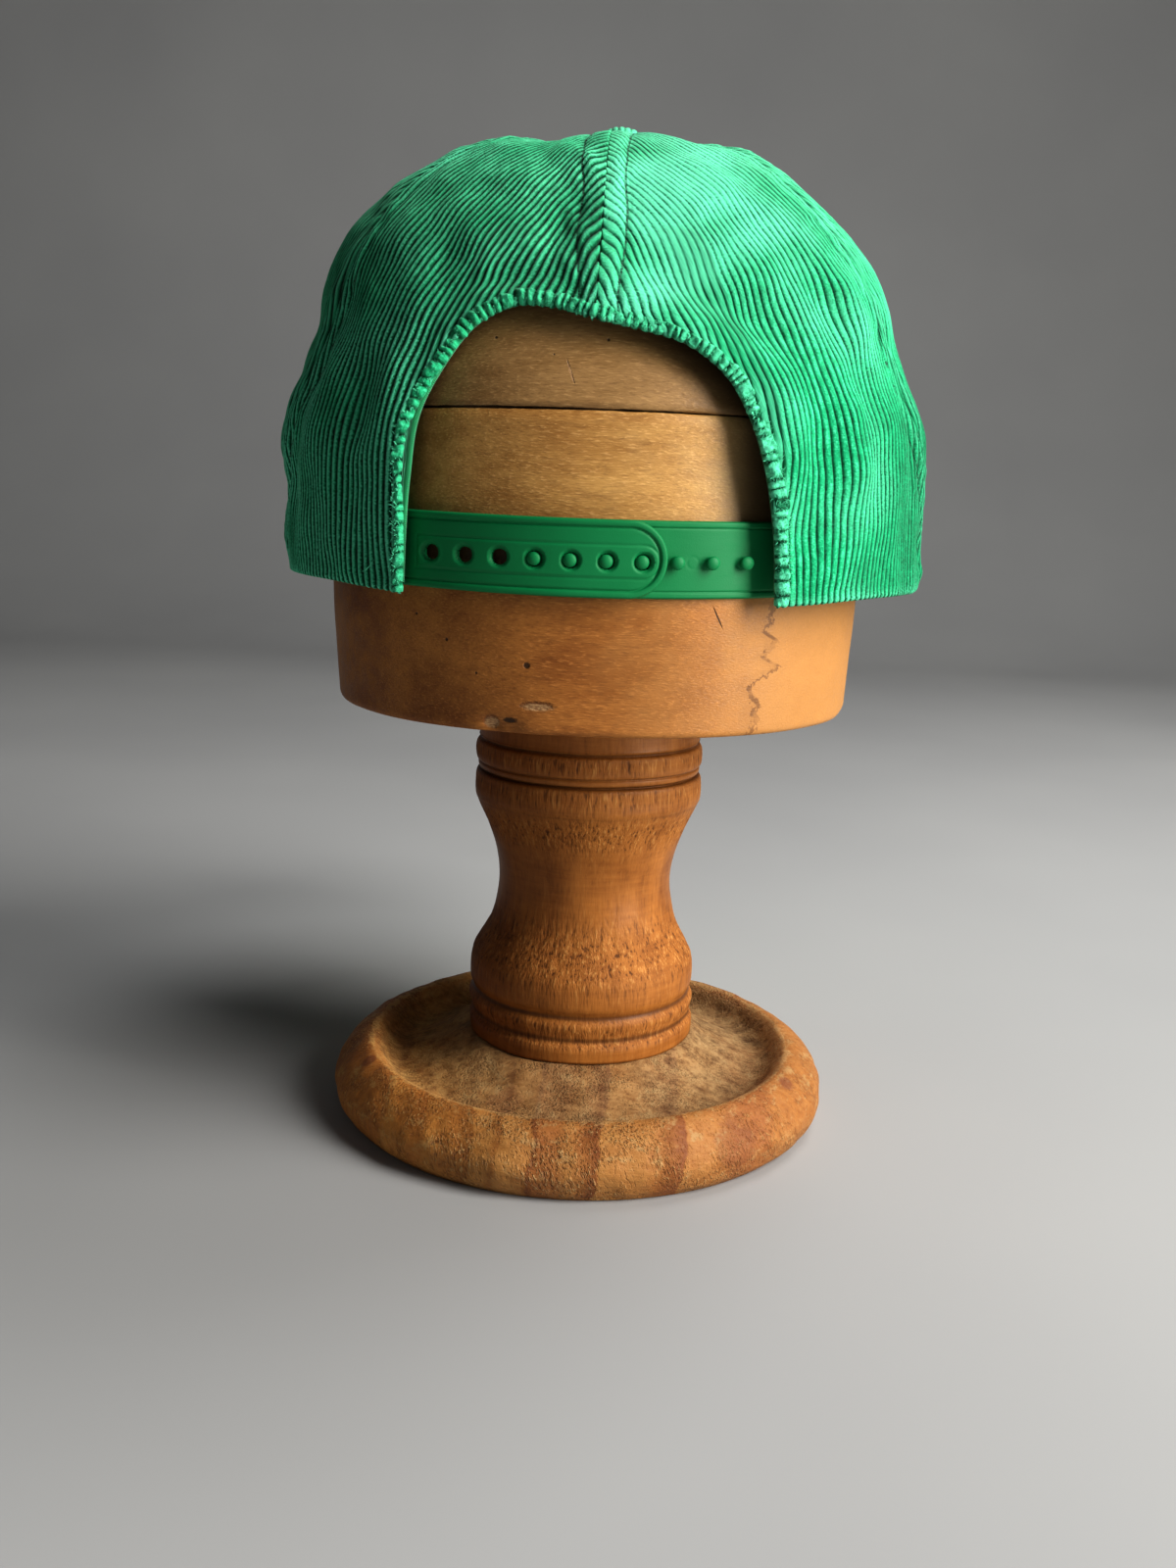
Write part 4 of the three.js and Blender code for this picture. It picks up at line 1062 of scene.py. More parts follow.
    def radius_turn(self, rise: Array, length: float) -> Array:
        """Degrees of azimuth that a length makes near the back of the crown."""
        section = self.section(rise)
        return np.degrees(length / np.maximum(section[..., 3], 1.0))

    def seam(self, which: tuple, rise: Array) -> Array:
        """Azimuth of a side seam, which swings back towards the strap as it climbs."""
        up_to, power = self.seam_swing
        return which[0] + which[1] * np.maximum(1 - np.asarray(rise) / up_to, 0) ** power

    def centre_seam(self, rise: Array) -> Array:
        """Azimuth of the centre seam, from the arch to the top."""
        azimuth, rise_low = self.crest
        climbed = held((rise - rise_low) / (self.top - rise_low))
        return azimuth * (1 - climbed)


class Part(Enum):
    """Which panel of the crown."""

    FRONT = "front"
    SIDE = "side"
    BACK = "back"


# azimuth of the straight grain of each part of the crown, on the right side
GRAIN = {Part.BACK: 68.0, Part.SIDE: 90.0, Part.FRONT: 180.0}


@dataclass
class CordPanel:
    """One panel of the crown, its wales real ridges along straight lines of its cloth.

    The cloth's own X is the distance from the panel's grain line, (azimuth - grain) times the
    section's half-size. A wale is a line of constant X, so columns of points follow it from the
    panel's lower edge to its upper one.
    """

    crown: CrownShape
    part: Part
    side: int  # -1 is the wearer's left, which mirrors the azimuth
    pitch: float = 2.05
    wide_pitch: float = 2.4
    roll: float = 0.8
    strip: float = 5.4
    # across, up, half-sizes of the crushed patch and of the brushed one
    crushed: tuple = (4.5, 241.5, 4.2, 3.4)
    brushed: tuple = (-19.0, 269.0, 18.0, 22.0)
    seed: int = 3

    @property
    def ridge(self) -> float:
        """Height of the wales, which stand less on the right where the light is on them."""
        return 0.8 if self.side < 0 else 0.52

    @property
    def name(self) -> str:
        """Name of the node that the panel stands for."""
        if self.part is Part.FRONT:
            return "crown_front"
        return f"crown_{self.part.value}_{'left' if self.side < 0 else 'right'}"

    def half(self, rise: Array) -> Array:
        """Half-size that turns azimuth into length on this panel, for each degree."""
        section = self.crown.section(rise)
        aside = section[..., 1 if self.side < 0 else 2]
        if self.part is Part.SIDE:
            size = aside
        elif self.part is Part.BACK:
            size = (aside + section[..., 3]) / 2
        else:
            size = (section[..., 1] + section[..., 2] + 2 * section[..., 4]) / 4
        return np.radians(np.maximum(size, 0.5))

    def bounds(self, rise: Array) -> tuple[Array, Array]:
        """Lowest and highest azimuth of the panel, mirrored to the right side, at a rise."""
        clear = self.crown.radius_turn(rise, GAP / 2)
        back = self.crown.seam(self.crown.back_seam, rise)
        front = self.crown.seam(self.crown.front_seam, rise)
        if self.part is Part.BACK:
            return self.side * self.crown.centre_seam(rise) + clear, back - clear
        if self.part is Part.SIDE:
            return back + clear, front - clear
        return front + clear, 360 - front - clear

    def arch_height(self, azimuth: Array) -> Array:
        """Height of the arch's edge over a mirrored azimuth, far below where there is no arch."""
        crown = self.crown
        if self.part is not Part.BACK:
            return np.full(np.shape(azimuth), -1e3)
        split = crown.arch_split
        edge = crown.arch_edge[split:] if self.side > 0 else crown.arch_edge[: split + 1][::-1]
        return np.interp(azimuth, self.side * edge[:, 0], edge[:, 1], right=-1e3)

    def grain(self, rise: Array) -> Array:
        """Azimuth of the grain line. On a back panel it comes to run along the side seam."""
        base = GRAIN[self.part]
        if self.part is not Part.BACK:
            return np.full(np.shape(rise), base)
        beside = self.bounds(rise)[1] - self.turn_x / self.half(rise)
        return np.where(rise > self.turn_rise, beside, base)

    def wale(self, x: Array) -> Array:
        """Number of wales from the grain line, growing slower where the wales are wide."""
        far = np.maximum(np.abs(x) - 60, 0)
        spread = (self.wide_pitch - self.pitch) / 40
        beyond = np.log1p(np.minimum(far, 60) * spread / self.pitch) / spread
        return np.sign(x) * (np.minimum(np.abs(x), 60) / self.pitch + beyond)

    def columns(self, low: float, high: float, extra: list[float]) -> Array:
        """Places of the columns: six for each wale, close together at its grooves."""
        dense = np.linspace(low - 3, high + 3, 6000)
        count = self.wale(dense)
        whole = np.arange(np.floor(count[0]), np.ceil(count[-1]))
        wanted = (whole[:, None] + COLUMN).reshape(-1)
        places = np.interp(wanted, count, dense)
        places = places[(places > low + 0.08) & (places < high - 0.08)]
        for value in extra:
            places = places[np.abs(places - value) > 0.06]
        return np.unique(np.concatenate([places, [low, high], extra]))

    def build(self, material: Material) -> Piece:
        """Builds the panel as a closed shell and puts it in place of its node."""
        crown = self.crown
        rises = np.linspace(0, crown.top, 2400)
        low, high = self.bounds(rises)
        surface = Surface()
        if self.part is Part.BACK:
            grain = GRAIN[self.part]
            seam_x = (high - grain) * self.half(rises)
            middle = (rises > 0.3) & (rises < 0.9)
            turning = np.flatnonzero(middle)[seam_x[middle].argmin()]
            self.turn_rise, self.turn_x = float(rises[turning]), float(seam_x[turning])
            at_turn = float(np.interp(self.turn_rise, rises, low))
            start_x = (at_turn - grain) * float(self.half(self.turn_rise))
            crest = self.crown.crest[1]
            first = (float(np.interp(crest, rises, low)) - grain) * float(self.half(crest))
            last = float(seam_x[0])
            places = self.columns(first, last, [start_x, self.turn_x])
            self.patch(surface, places, (0.0, self.turn_rise), (crest, 0.0), 52, [start_x, self.turn_x])
            upper = places[(places >= start_x - 1e-9) & (places <= self.turn_x + 1e-9)]
            self.patch(surface, upper, (self.turn_rise, crown.top), (self.turn_rise, None), 42)
        else:
            grain = self.grain(rises)
            low_x, high_x = (low - grain) * self.half(rises), (high - grain) * self.half(rises)
            first, last = low_x.argmin(), high_x.argmax()
            places = self.columns(float(low_x[first]), float(high_x[last]), [])
            self.patch(surface, places, (0.0, crown.top), (rises[first], rises[last]), 70)
        return surface.piece(self.name + "_cord", material, "corduroy", self.name)

    def patch(
        self, surface: Surface, places: Array, span: tuple[float, float],
        tips: tuple[float, float | None], rows: int, corners: list[float] | None = None
    ) -> None:
        """Adds the outer and inner faces of the panel between two rises.

        Args:
            surface: what they are added to.
            places: cloth X of each column.
            span: lowest and highest rise.
            tips: rise at which the first and last columns shrink to a point, or None.
            rows: points in a column of the outer face.
            corners: cloth X of columns that end at an edge just where the next patch starts.
        """
        crown = self.crown
        rises = np.linspace(span[0], span[1], 1800)
        low, high = self.bounds(rises)
        azimuth = self.grain(rises) + places[:, None] / self.half(rises)
        degree = self.half(rises)
        above = crown.section(rises)[:, 0] - self.arch_height(azimuth)
        inside = np.minimum(np.minimum((azimuth - low) * degree, (high - azimuth) * degree), above)
        start, start_edge = self.crossing(inside, rises, True)
        end, end_edge = self.crossing(inside, rises, False)
        start_edge |= span[0] == 0
        end_edge |= span[1] >= crown.top
        for corner in corners or []:
            end_edge |= np.abs(places - corner) < 1e-9
        for index, tip in ((0, tips[0]), (-1, tips[1])):
            if tip is not None:
                start[index] = end[index] = tip
                start_edge[index] = end_edge[index] = True
        along_edge = tips[1] is None
        if along_edge:
            start[-1], end[-1] = span
            start_edge[-1], end_edge[-1] = False, True
        fine = start[:, None] + (end - start)[:, None] * np.linspace(0, 1, 120)
        path = crown.point(self.side * self.azimuth(places, fine), fine)
        steps = np.linalg.norm(np.diff(path, axis=1), axis=2)
        length = np.concatenate([np.zeros((len(places), 1)), np.cumsum(steps, axis=1)], axis=1)
        slants = [self.slant(path[:, k], path[:, k + d] - path[:, k]) for k, d in ((0, 1), (-1, -1))]
        sides = []
        for outer, count in ((True, rows), (False, 12)):
            spots = self.rows(length[:, -1], slants, (start_edge, end_edge), count, outer)
            rise = np.array([np.interp(*parts) for parts in zip(spots, length, fine)])
            self.face(surface, places, rise, spots, (start_edge, end_edge), along_edge, outer)
            sides.append((surface.count - count + np.arange(count), spots[-1]))
        if along_edge:
            surface.faces.append(zipped(*sides))

    def azimuth(self, places: Array, rise: Array) -> Array:
        """Mirrored azimuth of cloth places at a rise."""
        return self.grain(rise) + places[:, None] / self.half(rise)

    def crossing(self, inside: Array, rises: Array, first: bool) -> tuple[Array, Array]:
        """Rise at which each column enters or leaves the panel, and whether that is at an edge."""
        within = inside > 0
        order = within if first else within[:, ::-1]
        hit = order.argmax(1)
        index = hit if first else within.shape[1] - 1 - hit
        before = np.clip(index - 1 if first else index + 1, 0, within.shape[1] - 1)
        row = np.arange(len(inside))
        a, b = inside[row, index], inside[row, before]
        crossed = (b <= 0) & (before != index)
        share = np.where(crossed, a / np.maximum(a - b, 1e-12), 0)
        return rises[index] + (rises[before] - rises[index]) * share, crossed

    def slant(self, ends: Array, heading: Array) -> Array:
        """How much longer a column is than the edge's width near it: one over the sine between them."""
        edge_way = unit(np.gradient(ends, axis=0))
        sine = np.linalg.norm(np.cross(edge_way, unit(heading)), axis=1)
        scale = 1 / np.maximum(sine, 0.16)
        window = np.ones(9) / 9
        padded = np.pad(scale, 4, mode="edge")
        return np.convolve(padded, window, mode="valid")

    def rows(
        self, length: Array, slants: list[Array], edges: tuple[Array, Array], count: int, outer: bool
    ) -> Array:
        """Places along each column: close together near an edge, even between.

        Args:
            length: each column's length.
            slants: stretch of the close steps at its start and end.
            edges: whether its start and end are edges of the panel.
            count: points in a column.
            outer: whether this is the outer face, which takes more steps.

        Returns:
            One row of places for each column.
        """
        near = np.array([0.06, 0.14, 0.25, 0.4, 0.6, 0.8, 1.0]) if outer else np.array([0.5, 1.4])
        late = np.concatenate([[1.1, 1.0, 1.1] if outer else [], near[::-1]])
        middle = count - 1 - len(near) - len(late)
        ends = [slant * order.sum() * edge for slant, order, edge in zip(slants, (near, late), edges)]
        tight = np.minimum(1, 0.6 * length / np.maximum(ends[0] + ends[1], 1e-9))
        free = length - (ends[0] + ends[1]) * tight
        even = free / (middle + sum(len(order) * (1 - edge) for order, edge in zip((near, late), edges)))
        pieces = []
        for slant, edge, order in ((slants[0], edges[0], near), (slants[1], edges[1], late)):
            close = (slant * tight)[:, None] * order
            pieces.append(np.where(edge[:, None], close, even[:, None]))
        steps = np.concatenate([pieces[0], np.repeat(even[:, None], middle, axis=1), pieces[1]], axis=1)
        return np.concatenate([np.zeros((len(length), 1)), np.cumsum(steps, axis=1)], axis=1)

    def face(
        self, surface: Surface, places: Array, rise: Array, spots: Array, edges: tuple[Array, Array],
        along_edge: bool, outer: bool
    ) -> None:
        """Adds one face of the shell, with its edges rolled and its wales raised.

        The face is the crown's surface, moved along its normal by the roll of the edge, the
        puffed strip beside each seam, the stitched pinch at the strip's far side, soft
        unevenness and the ridge of the wale.
        """
        crown = self.crown
        azimuth = self.side * self.azimuth(places, rise)
        base = crown.point(azimuth, rise)
        normal = crown.normal(azimuth, rise)
        lines = self.edge_lines()
        gaps = {key: nearest(base, line) for key, line in lines.items()}
        edge = np.min([gap for gap, _ in gaps.values()], axis=0)
        edge[edges[0], 0] = 0
        edge[edges[1], -1] = 0
        edge[spots[:, -1] < 1e-6] = 0
        if along_edge:
            edge[-1] = 0
        seam_keys = [key for key in gaps if key.startswith("seam")]
        seam = np.min([gaps[key][0] for key in seam_keys], axis=0)
        nowhere = (np.full(seam.shape, FAR), None)
        arch, centre, rim = (gaps.get(key, nowhere)[0] for key in ("arch", "seam_centre", "rim"))
        along = sum(np.where(gaps[key][0] <= seam + 1e-9, gaps[key][1], 0) for key in seam_keys)

        bow, lift = (2.0, 0.72) if self.side < 0 else (2.6, 0.62)
        ridge = wale(self.wale(places)[:, None], bow, lift)
        blunt = edge * (1 + 4.0 * held(ridge) ** 2 * bump(centre, 2.5))
        alive = rounding(blunt / 1.15)
        uneven = 1 + 0.2 * ripple(base, 5.0, self.seed + 1)
        crushed = self.patch_on(base, self.crushed, -1)
        brushed = self.patch_on(base, self.brushed, 1)
        flattened = (1 - 0.3 * bump(seam - self.strip, 0.6)) * (1 - 0.75 * crushed) * (1 - 0.4 * brushed)
        wales = (ridge - 0.6) * self.ridge * uneven * flattened * alive

        pinch = -0.34 * bump(seam - self.strip, 0.9)
        puff = 0.26 * np.sin(np.pi * held(seam / self.strip)) ** 1.3
        pucker = 0.34 * ripple(base, 7.5, self.seed + 2) * bump(seam, 9.0)
        soft = 0.42 * ripple(base, 21.0, 11) + 0.15 * ripple(base, 9.0, 12)
        curl = -0.5 * held(1 - arch / 4.0) ** 2
        settle = np.clip(edge / 3.0, 0.25, 1)
        shared = puff * alive + pinch + (pucker + soft) * settle + curl

        near = (rise - 1e-3, rise + 1e-3)
        before, after = (crown.point(self.side * self.azimuth(places, at), at) for at in near)
        tangent = unit(after - before)
        first_half = np.arange(rise.shape[1]) < rise.shape[1] / 2
        starts = edges[0] & (spots[:, -1] > 1e-6)
        way = np.where(first_half & starts[:, None], -1.0, 1.0)
        reach = 0.42 + 0.95 * bump(arch, 3.0) + 0.9 * bump(centre, 2.5)
        scallop = way * reach * (ridge - 0.5) * bump(edge, 1.3)
        sway = 0.3 * ripple(base, 14.0, self.seed + 5) + 0.5 * ripple(base, 34.0, self.seed + 6)
        sway = (sway + (self.side > 0) * 0.45 * ripple(base, 6.0, 94) * bump(arch, 6.0)) * settle
        fall = HANG - normal * (normal @ HANG)[..., None]
        hooked = 2.4 * held(1 - centre / 6.5) ** 2 * held(arch / 9.0)
        level = unit(np.cross(normal, tangent))

        rolled = rolled_in(self.roll, blunt if outer else edge)
        offset = shared + (wales - rolled if outer else rolled - crown.cloth)
        points = base + normal * offset[..., None] + tangent * scallop[..., None] + level * sway[..., None]
        points = points + fall * (hooked * held((self.crown.top - rise) * 8))[..., None]
        cloth = np.stack(np.broadcast_arrays(places[:, None], spots), -1)
        frayed = (self.side > 0) * bump(arch, 5.5) * (0.65 + 0.35 * ripple(base, 7.0, 93))
        wear = 0.85 * np.maximum(bump(arch, 2.6), frayed) + 0.5 * bump(rim, 1.6)
        wear = wear + 0.4 * bump(seam - 2.7, 1.6)
        if self.side < 0:
            wear = wear + 0.6 * held((262 - base[..., 2]) / 40)
        wear = held(wear + 0.25 * ripple(base, 26.0, 17) + 0.5 * crushed + 1.0 * brushed)
        columns, count = rise.shape
        faces = grid_faces(columns, count)
        if not outer:
            faces = faces[:, ::-1]
        # Painted shade in the grooves: the pile, which sets the colour, falls off steeply on the left, away
        # from the key light, and gently on the right.
        power = 3.0 if self.side < 0 else 1.2
        pile = held(ridge**power * (0.35 + 0.65 * alive)) if outer else 0.4
        # Painted shade: the pile is darkened low on the far right, where the light falls full on the cloth.
        if outer and self.side > 0:
            painted_lit_side_shade = held((-62 - base[..., 0]) / 25) * held((245 - base[..., 2]) / 30)
            pile = np.maximum(pile * (1 - 0.36 * painted_lit_side_shade), 0.62 * brushed)
        if outer:
            surface.add(points, faces, cloth, pile, wear, seam - self.strip, along)
        else:
            surface.add(points, faces, cloth, pile)

    def patch_on(self, base: Array, place: tuple, side: int) -> Array:
        """How far the pile is pressed flat in a ragged patch of one of the back panels, from 0 to 1."""
        if self.part is not Part.BACK or self.side != side:
            return np.zeros(base.shape[:-1])
        x, z, across, along = place
        away = np.hypot((base[..., 0] - x) / across, (base[..., 2] - z) / along)
        return held(1.6 - away - 0.3 * ripple(base, 0.7 * along, 91))

    def edge_lines(self) -> dict[str, Array]:
        """Lines round the panel, on the crown's outer face, by name."""
        crown = self.crown
        full = np.linspace(0, crown.top, 220)
        low, high = self.bounds(full)
        turn = np.linspace(float(high[-1]), float(low[-1]), 24)
        lines = {"top": crown.point(self.side * turn, np.full(24, crown.top))}
        lines["seam_far"] = crown.point(self.side * high, full)
        if self.part is Part.BACK:
            crest = crown.crest[1]
            upper = np.linspace(crest, crown.top, 120)
            lines["seam_centre"] = crown.point(self.side * self.bounds(upper)[0], upper)
            split = crown.arch_split
            edge = crown.arch_edge[split:] if self.side > 0 else crown.arch_edge[: split + 1]
            lines["arch"] = crown.point(edge[:, 0], crown.rise_at(edge[:, 1]))
            begin = abs(edge[-1 if self.side > 0 else 0, 0])
        else:
            lines["seam_near"] = crown.point(self.side * low, full)
            begin = float(low[0])
        rim = np.linspace(begin, float(high[0]), 120)
        lines["rim"] = crown.point(self.side * rim, np.zeros(120))
        return lines


@dataclass
class ArchHem:
    """Turned edge of the arch: a rolled welt of short tufts, rubbed smooth down both sides."""

    crown: CrownShape
    # row of the arch's table and spacing of the tufts there
    spacing: tuple = ((0.0, 3.4), (3.4, 3.2), (4.6, 2.5), (7.2, 2.1), (11.0, 2.1), (12.5, 3.0), (15.0, 3.3))
    # row of the arch's table, width, lift, tuft depth, wear
    shape: tuple = (
        (0.0, 2.2, 0.3, 0.4, 0.4), (2.0, 2.1, 0.3, 0.45, 0.3), (3.6, 2.6, 0.3, 0.7, 0.1),
        (5.0, 3.0, 0.35, 0.95, 0.1), (7.0, 3.0, 0.25, 0.9, 0.3), (7.9, 2.8, 0.0, 0.9, 0.35),
        (8.6, 2.4, -0.15, 0.95, 0.35), (11.0, 2.6, 0.05, 0.9, 0.6), (12.0, 3.5, 0.35, 0.8, 0.9),
        (15.0, 3.4, 0.4, 0.6, 0.9),
    )
    # section of the welt: part of its width from the edge, part of its lift, depth in millimetres
    section: tuple = (
        (1.08, -1.2, 0.3), (1.0, 0.0, 0.0), (0.86, 0.62, 0.0), (0.68, 0.92, 0.0), (0.5, 1.0, 0.0),
        (0.32, 0.88, 0.0), (0.18, 0.5, 0.0), (0.08, 0.0, 0.0), (0.02, -0.4, 0.35), (-0.02, -0.4, 0.8),
        (0.0, -0.4, 1.3), (0.08, -0.4, 1.75), (0.25, -0.4, 1.95), (0.6, -0.4, 1.7), (0.95, -0.4, 1.2),
    )

    def build(self, material: Material) -> Piece:
        """Builds the welt as a closed ring swept along the arch's edge."""
        crown = self.crown
        index = np.arange(len(crown.arch_edge)) / ARCH_STEPS
        fine = np.linspace(0, index[-1], 2400)
        table = np.array(self.shape)
        azimuth = np.interp(fine, index, crown.arch_edge[:, 0])
        height = np.interp(fine, index, crown.arch_edge[:, 1])
        path = crown.point(azimuth, crown.rise_at(height))
        run = run_of(path)
        place = np.linspace(0, run[-1], int(run[-1] / 0.2))
        azimuth, height, row = (np.interp(place, run, value) for value in (azimuth, height, fine))
        rise = crown.rise_at(height)
        middle = crown.point(azimuth, rise)
        out = crown.normal(azimuth, rise)
        ahead = unit(np.gradient(middle, axis=0))
        off = unit(np.cross(out, ahead))
        width, lift, tuft, wear = (np.interp(row, table[:, 0], table[:, k]) for k in range(1, 5))
        width = width * (1 + 0.14 * ripple(middle, 9.0, 81) + 0.12 * ripple(middle, 3.0, 85))
        section = smooth_rows(np.array(self.section + self.section[:1]), 2)[:-1]
        back = section[:, 0] * width[:, None]
        level = section[:, 1] * lift[:, None] - section[:, 2]
        rate = 1 / np.interp(row, *np.array(self.spacing).T)
        turn = np.cumsum(np.gradient(place) * rate) + 0.3 * ripple(middle, 6.0, 82)
        slant = 0.5 * held(1 - row / 7.5)[:, None] * section[:, 0]
        tooth = wale(turn[:, None] + slant, 2.2, 0.7)
        rolled = held((1.0 - section[:, 0]) * 4) * held(1.2 - 0.5 * section[:, 2])
        relief = (tooth - 0.55) * tuft[:, None] * rolled
        centre = np.stack([0.45 * width, -0.6 + 0 * width], -1)[:, None]
        flat = np.stack([back, level], -1)
        flat = flat + unit(flat - centre) * relief[..., None] * 1.5
        points = middle[:, None] + off[:, None] * flat[..., :1] + out[:, None] * flat[..., 1:]
        fuzz = 0.22 * ripple(points, 1.8, 83) + 0.25 * ripple(points, 4.5, 84)
        points = points + out[:, None] * (fuzz * rolled)[..., None]
        surface = Surface()
        closed = np.concatenate([points, points[:, :1]], axis=1)
        uv = np.stack(np.broadcast_arrays(place[:, None], back), -1)
        uv = np.concatenate([uv, uv[:, :1]], axis=1)
        pile = np.concatenate([tooth, tooth[:, :1]], axis=1)
        worn = np.broadcast_to(wear[:, None], pile.shape)
        faces = grid_faces(*closed.shape[:2])
        surface.add(closed, faces, uv, pile * 0.9, worn)
        for end, way in ((0, -1), (-1, 1)):
            ring = points[end]
            core = ring.mean(0, keepdims=True)
            count = len(ring)
            spokes = np.arange(count)
            fan = np.stack([spokes, (spokes + 1) % count, np.full(count, count)], -1)
            surface.add(np.concatenate([ring, core]), fan[:, ::way], None, 0.6, 0.9)
        return surface.piece("arch_hem", material, "corduroy")


@dataclass
class Fray:
    """Loose pile that stands out of the arch's turned edge, and one stray thread."""

    crown: CrownShape
    # row of the arch's table, tufts in a millimetre, length
    growth: tuple = (
        (0.0, 7.0, 1.2), (3.6, 5.0, 1.1), (6.0, 2.0, 0.9), (10.0, 2.5, 0.9), (11.8, 8.0, 1.3),
        (15.0, 7.0, 1.4),
    )
    # azimuth and height of the stray thread
    stray: tuple = (-37.2, 175.5)
    seed: int = 12

    def build(self, material: Material) -> Piece:
        """Builds all tufts, each a bent closed spike, as one piece."""
        crown = self.crown
        random = np.random.default_rng(self.seed)
        index = np.arange(len(crown.arch_edge)) / ARCH_STEPS
        fine = np.linspace(0.2, index[-1] - 0.2, 3000)
        azimuth = np.interp(fine, index, crown.arch_edge[:, 0])
        rise = crown.rise_at(np.interp(fine, index, crown.arch_edge[:, 1]))
        path, out = crown.point(azimuth, rise), crown.normal(azimuth, rise)
        ahead = unit(np.gradient(path, axis=0))
        off = unit(np.cross(out, ahead))
        table = np.array(self.growth).T
        steps = np.linalg.norm(np.gradient(path, axis=0), axis=1) * np.interp(fine, table[0], table[1])
        total = np.cumsum(steps)
        count = int(total[-1])
        place = np.interp(random.uniform(0, total[-1], count), total, np.arange(len(fine)))
        path, out, ahead, off = (
            np.stack([np.interp(place, np.arange(len(fine)), value[:, k]) for k in range(3)], -1)
            for value in (path, out, ahead, off)
        )
        across, lean = random.uniform(0.1, 2.3, (count, 1)), random.normal(0, 1, (count, 3))
        across = across * np.interp(place, [0, 2000, 2400], [1.0, 1.0, 1.5])[:, None]
        roots = path + off * across + out * np.where(across < 0.4, -0.6, 0.0)
        ways = out * 0.8 - off * (1.5 - across) * 0.7 + ahead * lean[:, :1] * 0.8 + lean * 0.25
        length = np.interp(np.interp(place, np.arange(len(fine)), fine), table[0], table[2])
        length = length * random.uniform(0.5, 1.25, count)
        width = random.uniform(0.16, 0.34, count)
        bend = unit(lean + np.array([0.0, 0.0, -0.5])) * 0.45
        azimuth, rise = np.array([self.stray[0]]), crown.rise_at(np.array([self.stray[1]]))
        stray = crown.point(azimuth, rise) + crown.normal(azimuth, rise) * 1.7
        roots = np.concatenate([roots, stray])
        ways = np.concatenate([ways, [[-1.0, 0.25, 0.35]]])
        bend = np.concatenate([bend, [[0.0, 0.2, 0.6]]])
        surface = Surface()
        spikes(surface, roots, unit(ways), bend, np.append(length, 3.6), np.append(width, 0.3))
        return surface.piece("arch_fray", material, "corduroy")


def spikes(
    surface: Surface,
    roots: Array,
    ways: Array,
    bend: Array,
    length: Array,
    width: Array,
) -> None:
    """Adds thin bent spikes with five sides, closed at the root.

    Args:
        surface: what they are added to.
        roots: where they start.
        ways: unit directions in which they leave.
        bend: how far the tip is off its direction, as part of the length.
        length: length of each.
        width: thickness of each at its root.
    """
    sides = 5
    share = np.array([0.0, 0.35, 0.7, 1.0])
    slim = np.array([1.0, 0.9, 0.6, 0.02])
    level = unit(np.cross(ways, np.array([0.31, 0.53, 0.79])))
    other = np.cross(ways, level)
    turn = turns(sides)
    spine = ways[:, None] * share[:, None] + bend[:, None] * (share**2)[:, None]
    spine = roots[:, None] + spine * length[:, None, None]
    round_about = level[:, None] * np.cos(turn)[:, None] + other[:, None] * np.sin(turn)[:, None]
    points = spine[:, :, None] + round_about[:, None] * (slim[:, None] * width[:, None, None] / 2)[..., None]
    count, rows = points.shape[:2]
    first = np.arange(count) * rows * sides
    i, k = np.meshgrid(np.arange(rows - 1) * sides, np.arange(sides), indexing="ij")
    after = (k + 1) % sides
    quad = np.stack([i + k, i + after, i + sides + after, i + sides + k], -1).reshape(-1, 4)
    faces = (first[:, None, None] + quad).reshape(-1, 4)
    pile = np.broadcast_to(np.array([0.5, 0.8, 0.95, 1.0])[:, None], points.shape[:3])
    surface.add(points, faces, None, pile, 0.85)
    base = surface.count - count * rows * sides
    caps = first[:, None] + base + np.arange(sides)[::-1]
    tips = first[:, None] + base + (rows - 1) * sides + np.arange(sides)
    surface.faces += [caps, tips]


@dataclass
class TopButton:
    """Cloth-covered button: a low dome of corduroy with a turned-in edge."""

    radius: float = 6.2
    height: float = 3.6
    centre_x: float = -3.2
    foot: float = 297.7
    pitch: float = 1.85

    def build(self, material: Material) -> Piece:
        """Builds the dome as rings from its crown to its rivet, ridged along Y."""
        sweep = np.concatenate([np.linspace(0, 0.5 * np.pi, 26), [0.56 * np.pi, 0.62 * np.pi]])
        radius = self.radius * np.sin(sweep) ** 0.86
        height = self.height * np.sign(np.cos(sweep)) * np.abs(np.cos(sweep)) ** 0.9
        radius = np.concatenate([radius, [5.0, 3.0, 2.2, 2.2, 0.0]])
        height = np.concatenate([height, [-0.35, -0.3, -0.6, -4.6, -4.6]])
        radius[0] = 0
        turn = turns(96)
        x = np.outer(np.cos(turn), radius)
        y = np.outer(np.sin(turn), radius)
        z = np.broadcast_to(height, x.shape)
        ridge = wale(x / self.pitch + 0.5)
        top = (np.arange(x.shape[1]) < 28).astype(float)
        points = np.stack([x + self.centre_x, y, z + self.foot], -1)
        away = unit(np.stack([x, y, np.maximum(z, 0.1) * 2.2], -1))
        lift = (ridge - 0.7) * 0.45 * top + 0.12 * ripple(points, 4.0, 31) * top
        points = points + away * (lift * np.minimum(radius / 1.0, 1))[..., None]
        surface = Surface()
        faces = grid_faces(*x.shape, closed=True)
        surface.add(points, faces, np.stack([x, y], -1), ridge * top, 0.5 * top)
        return surface.piece("top_button_cord", material, "corduroy", "top_button")


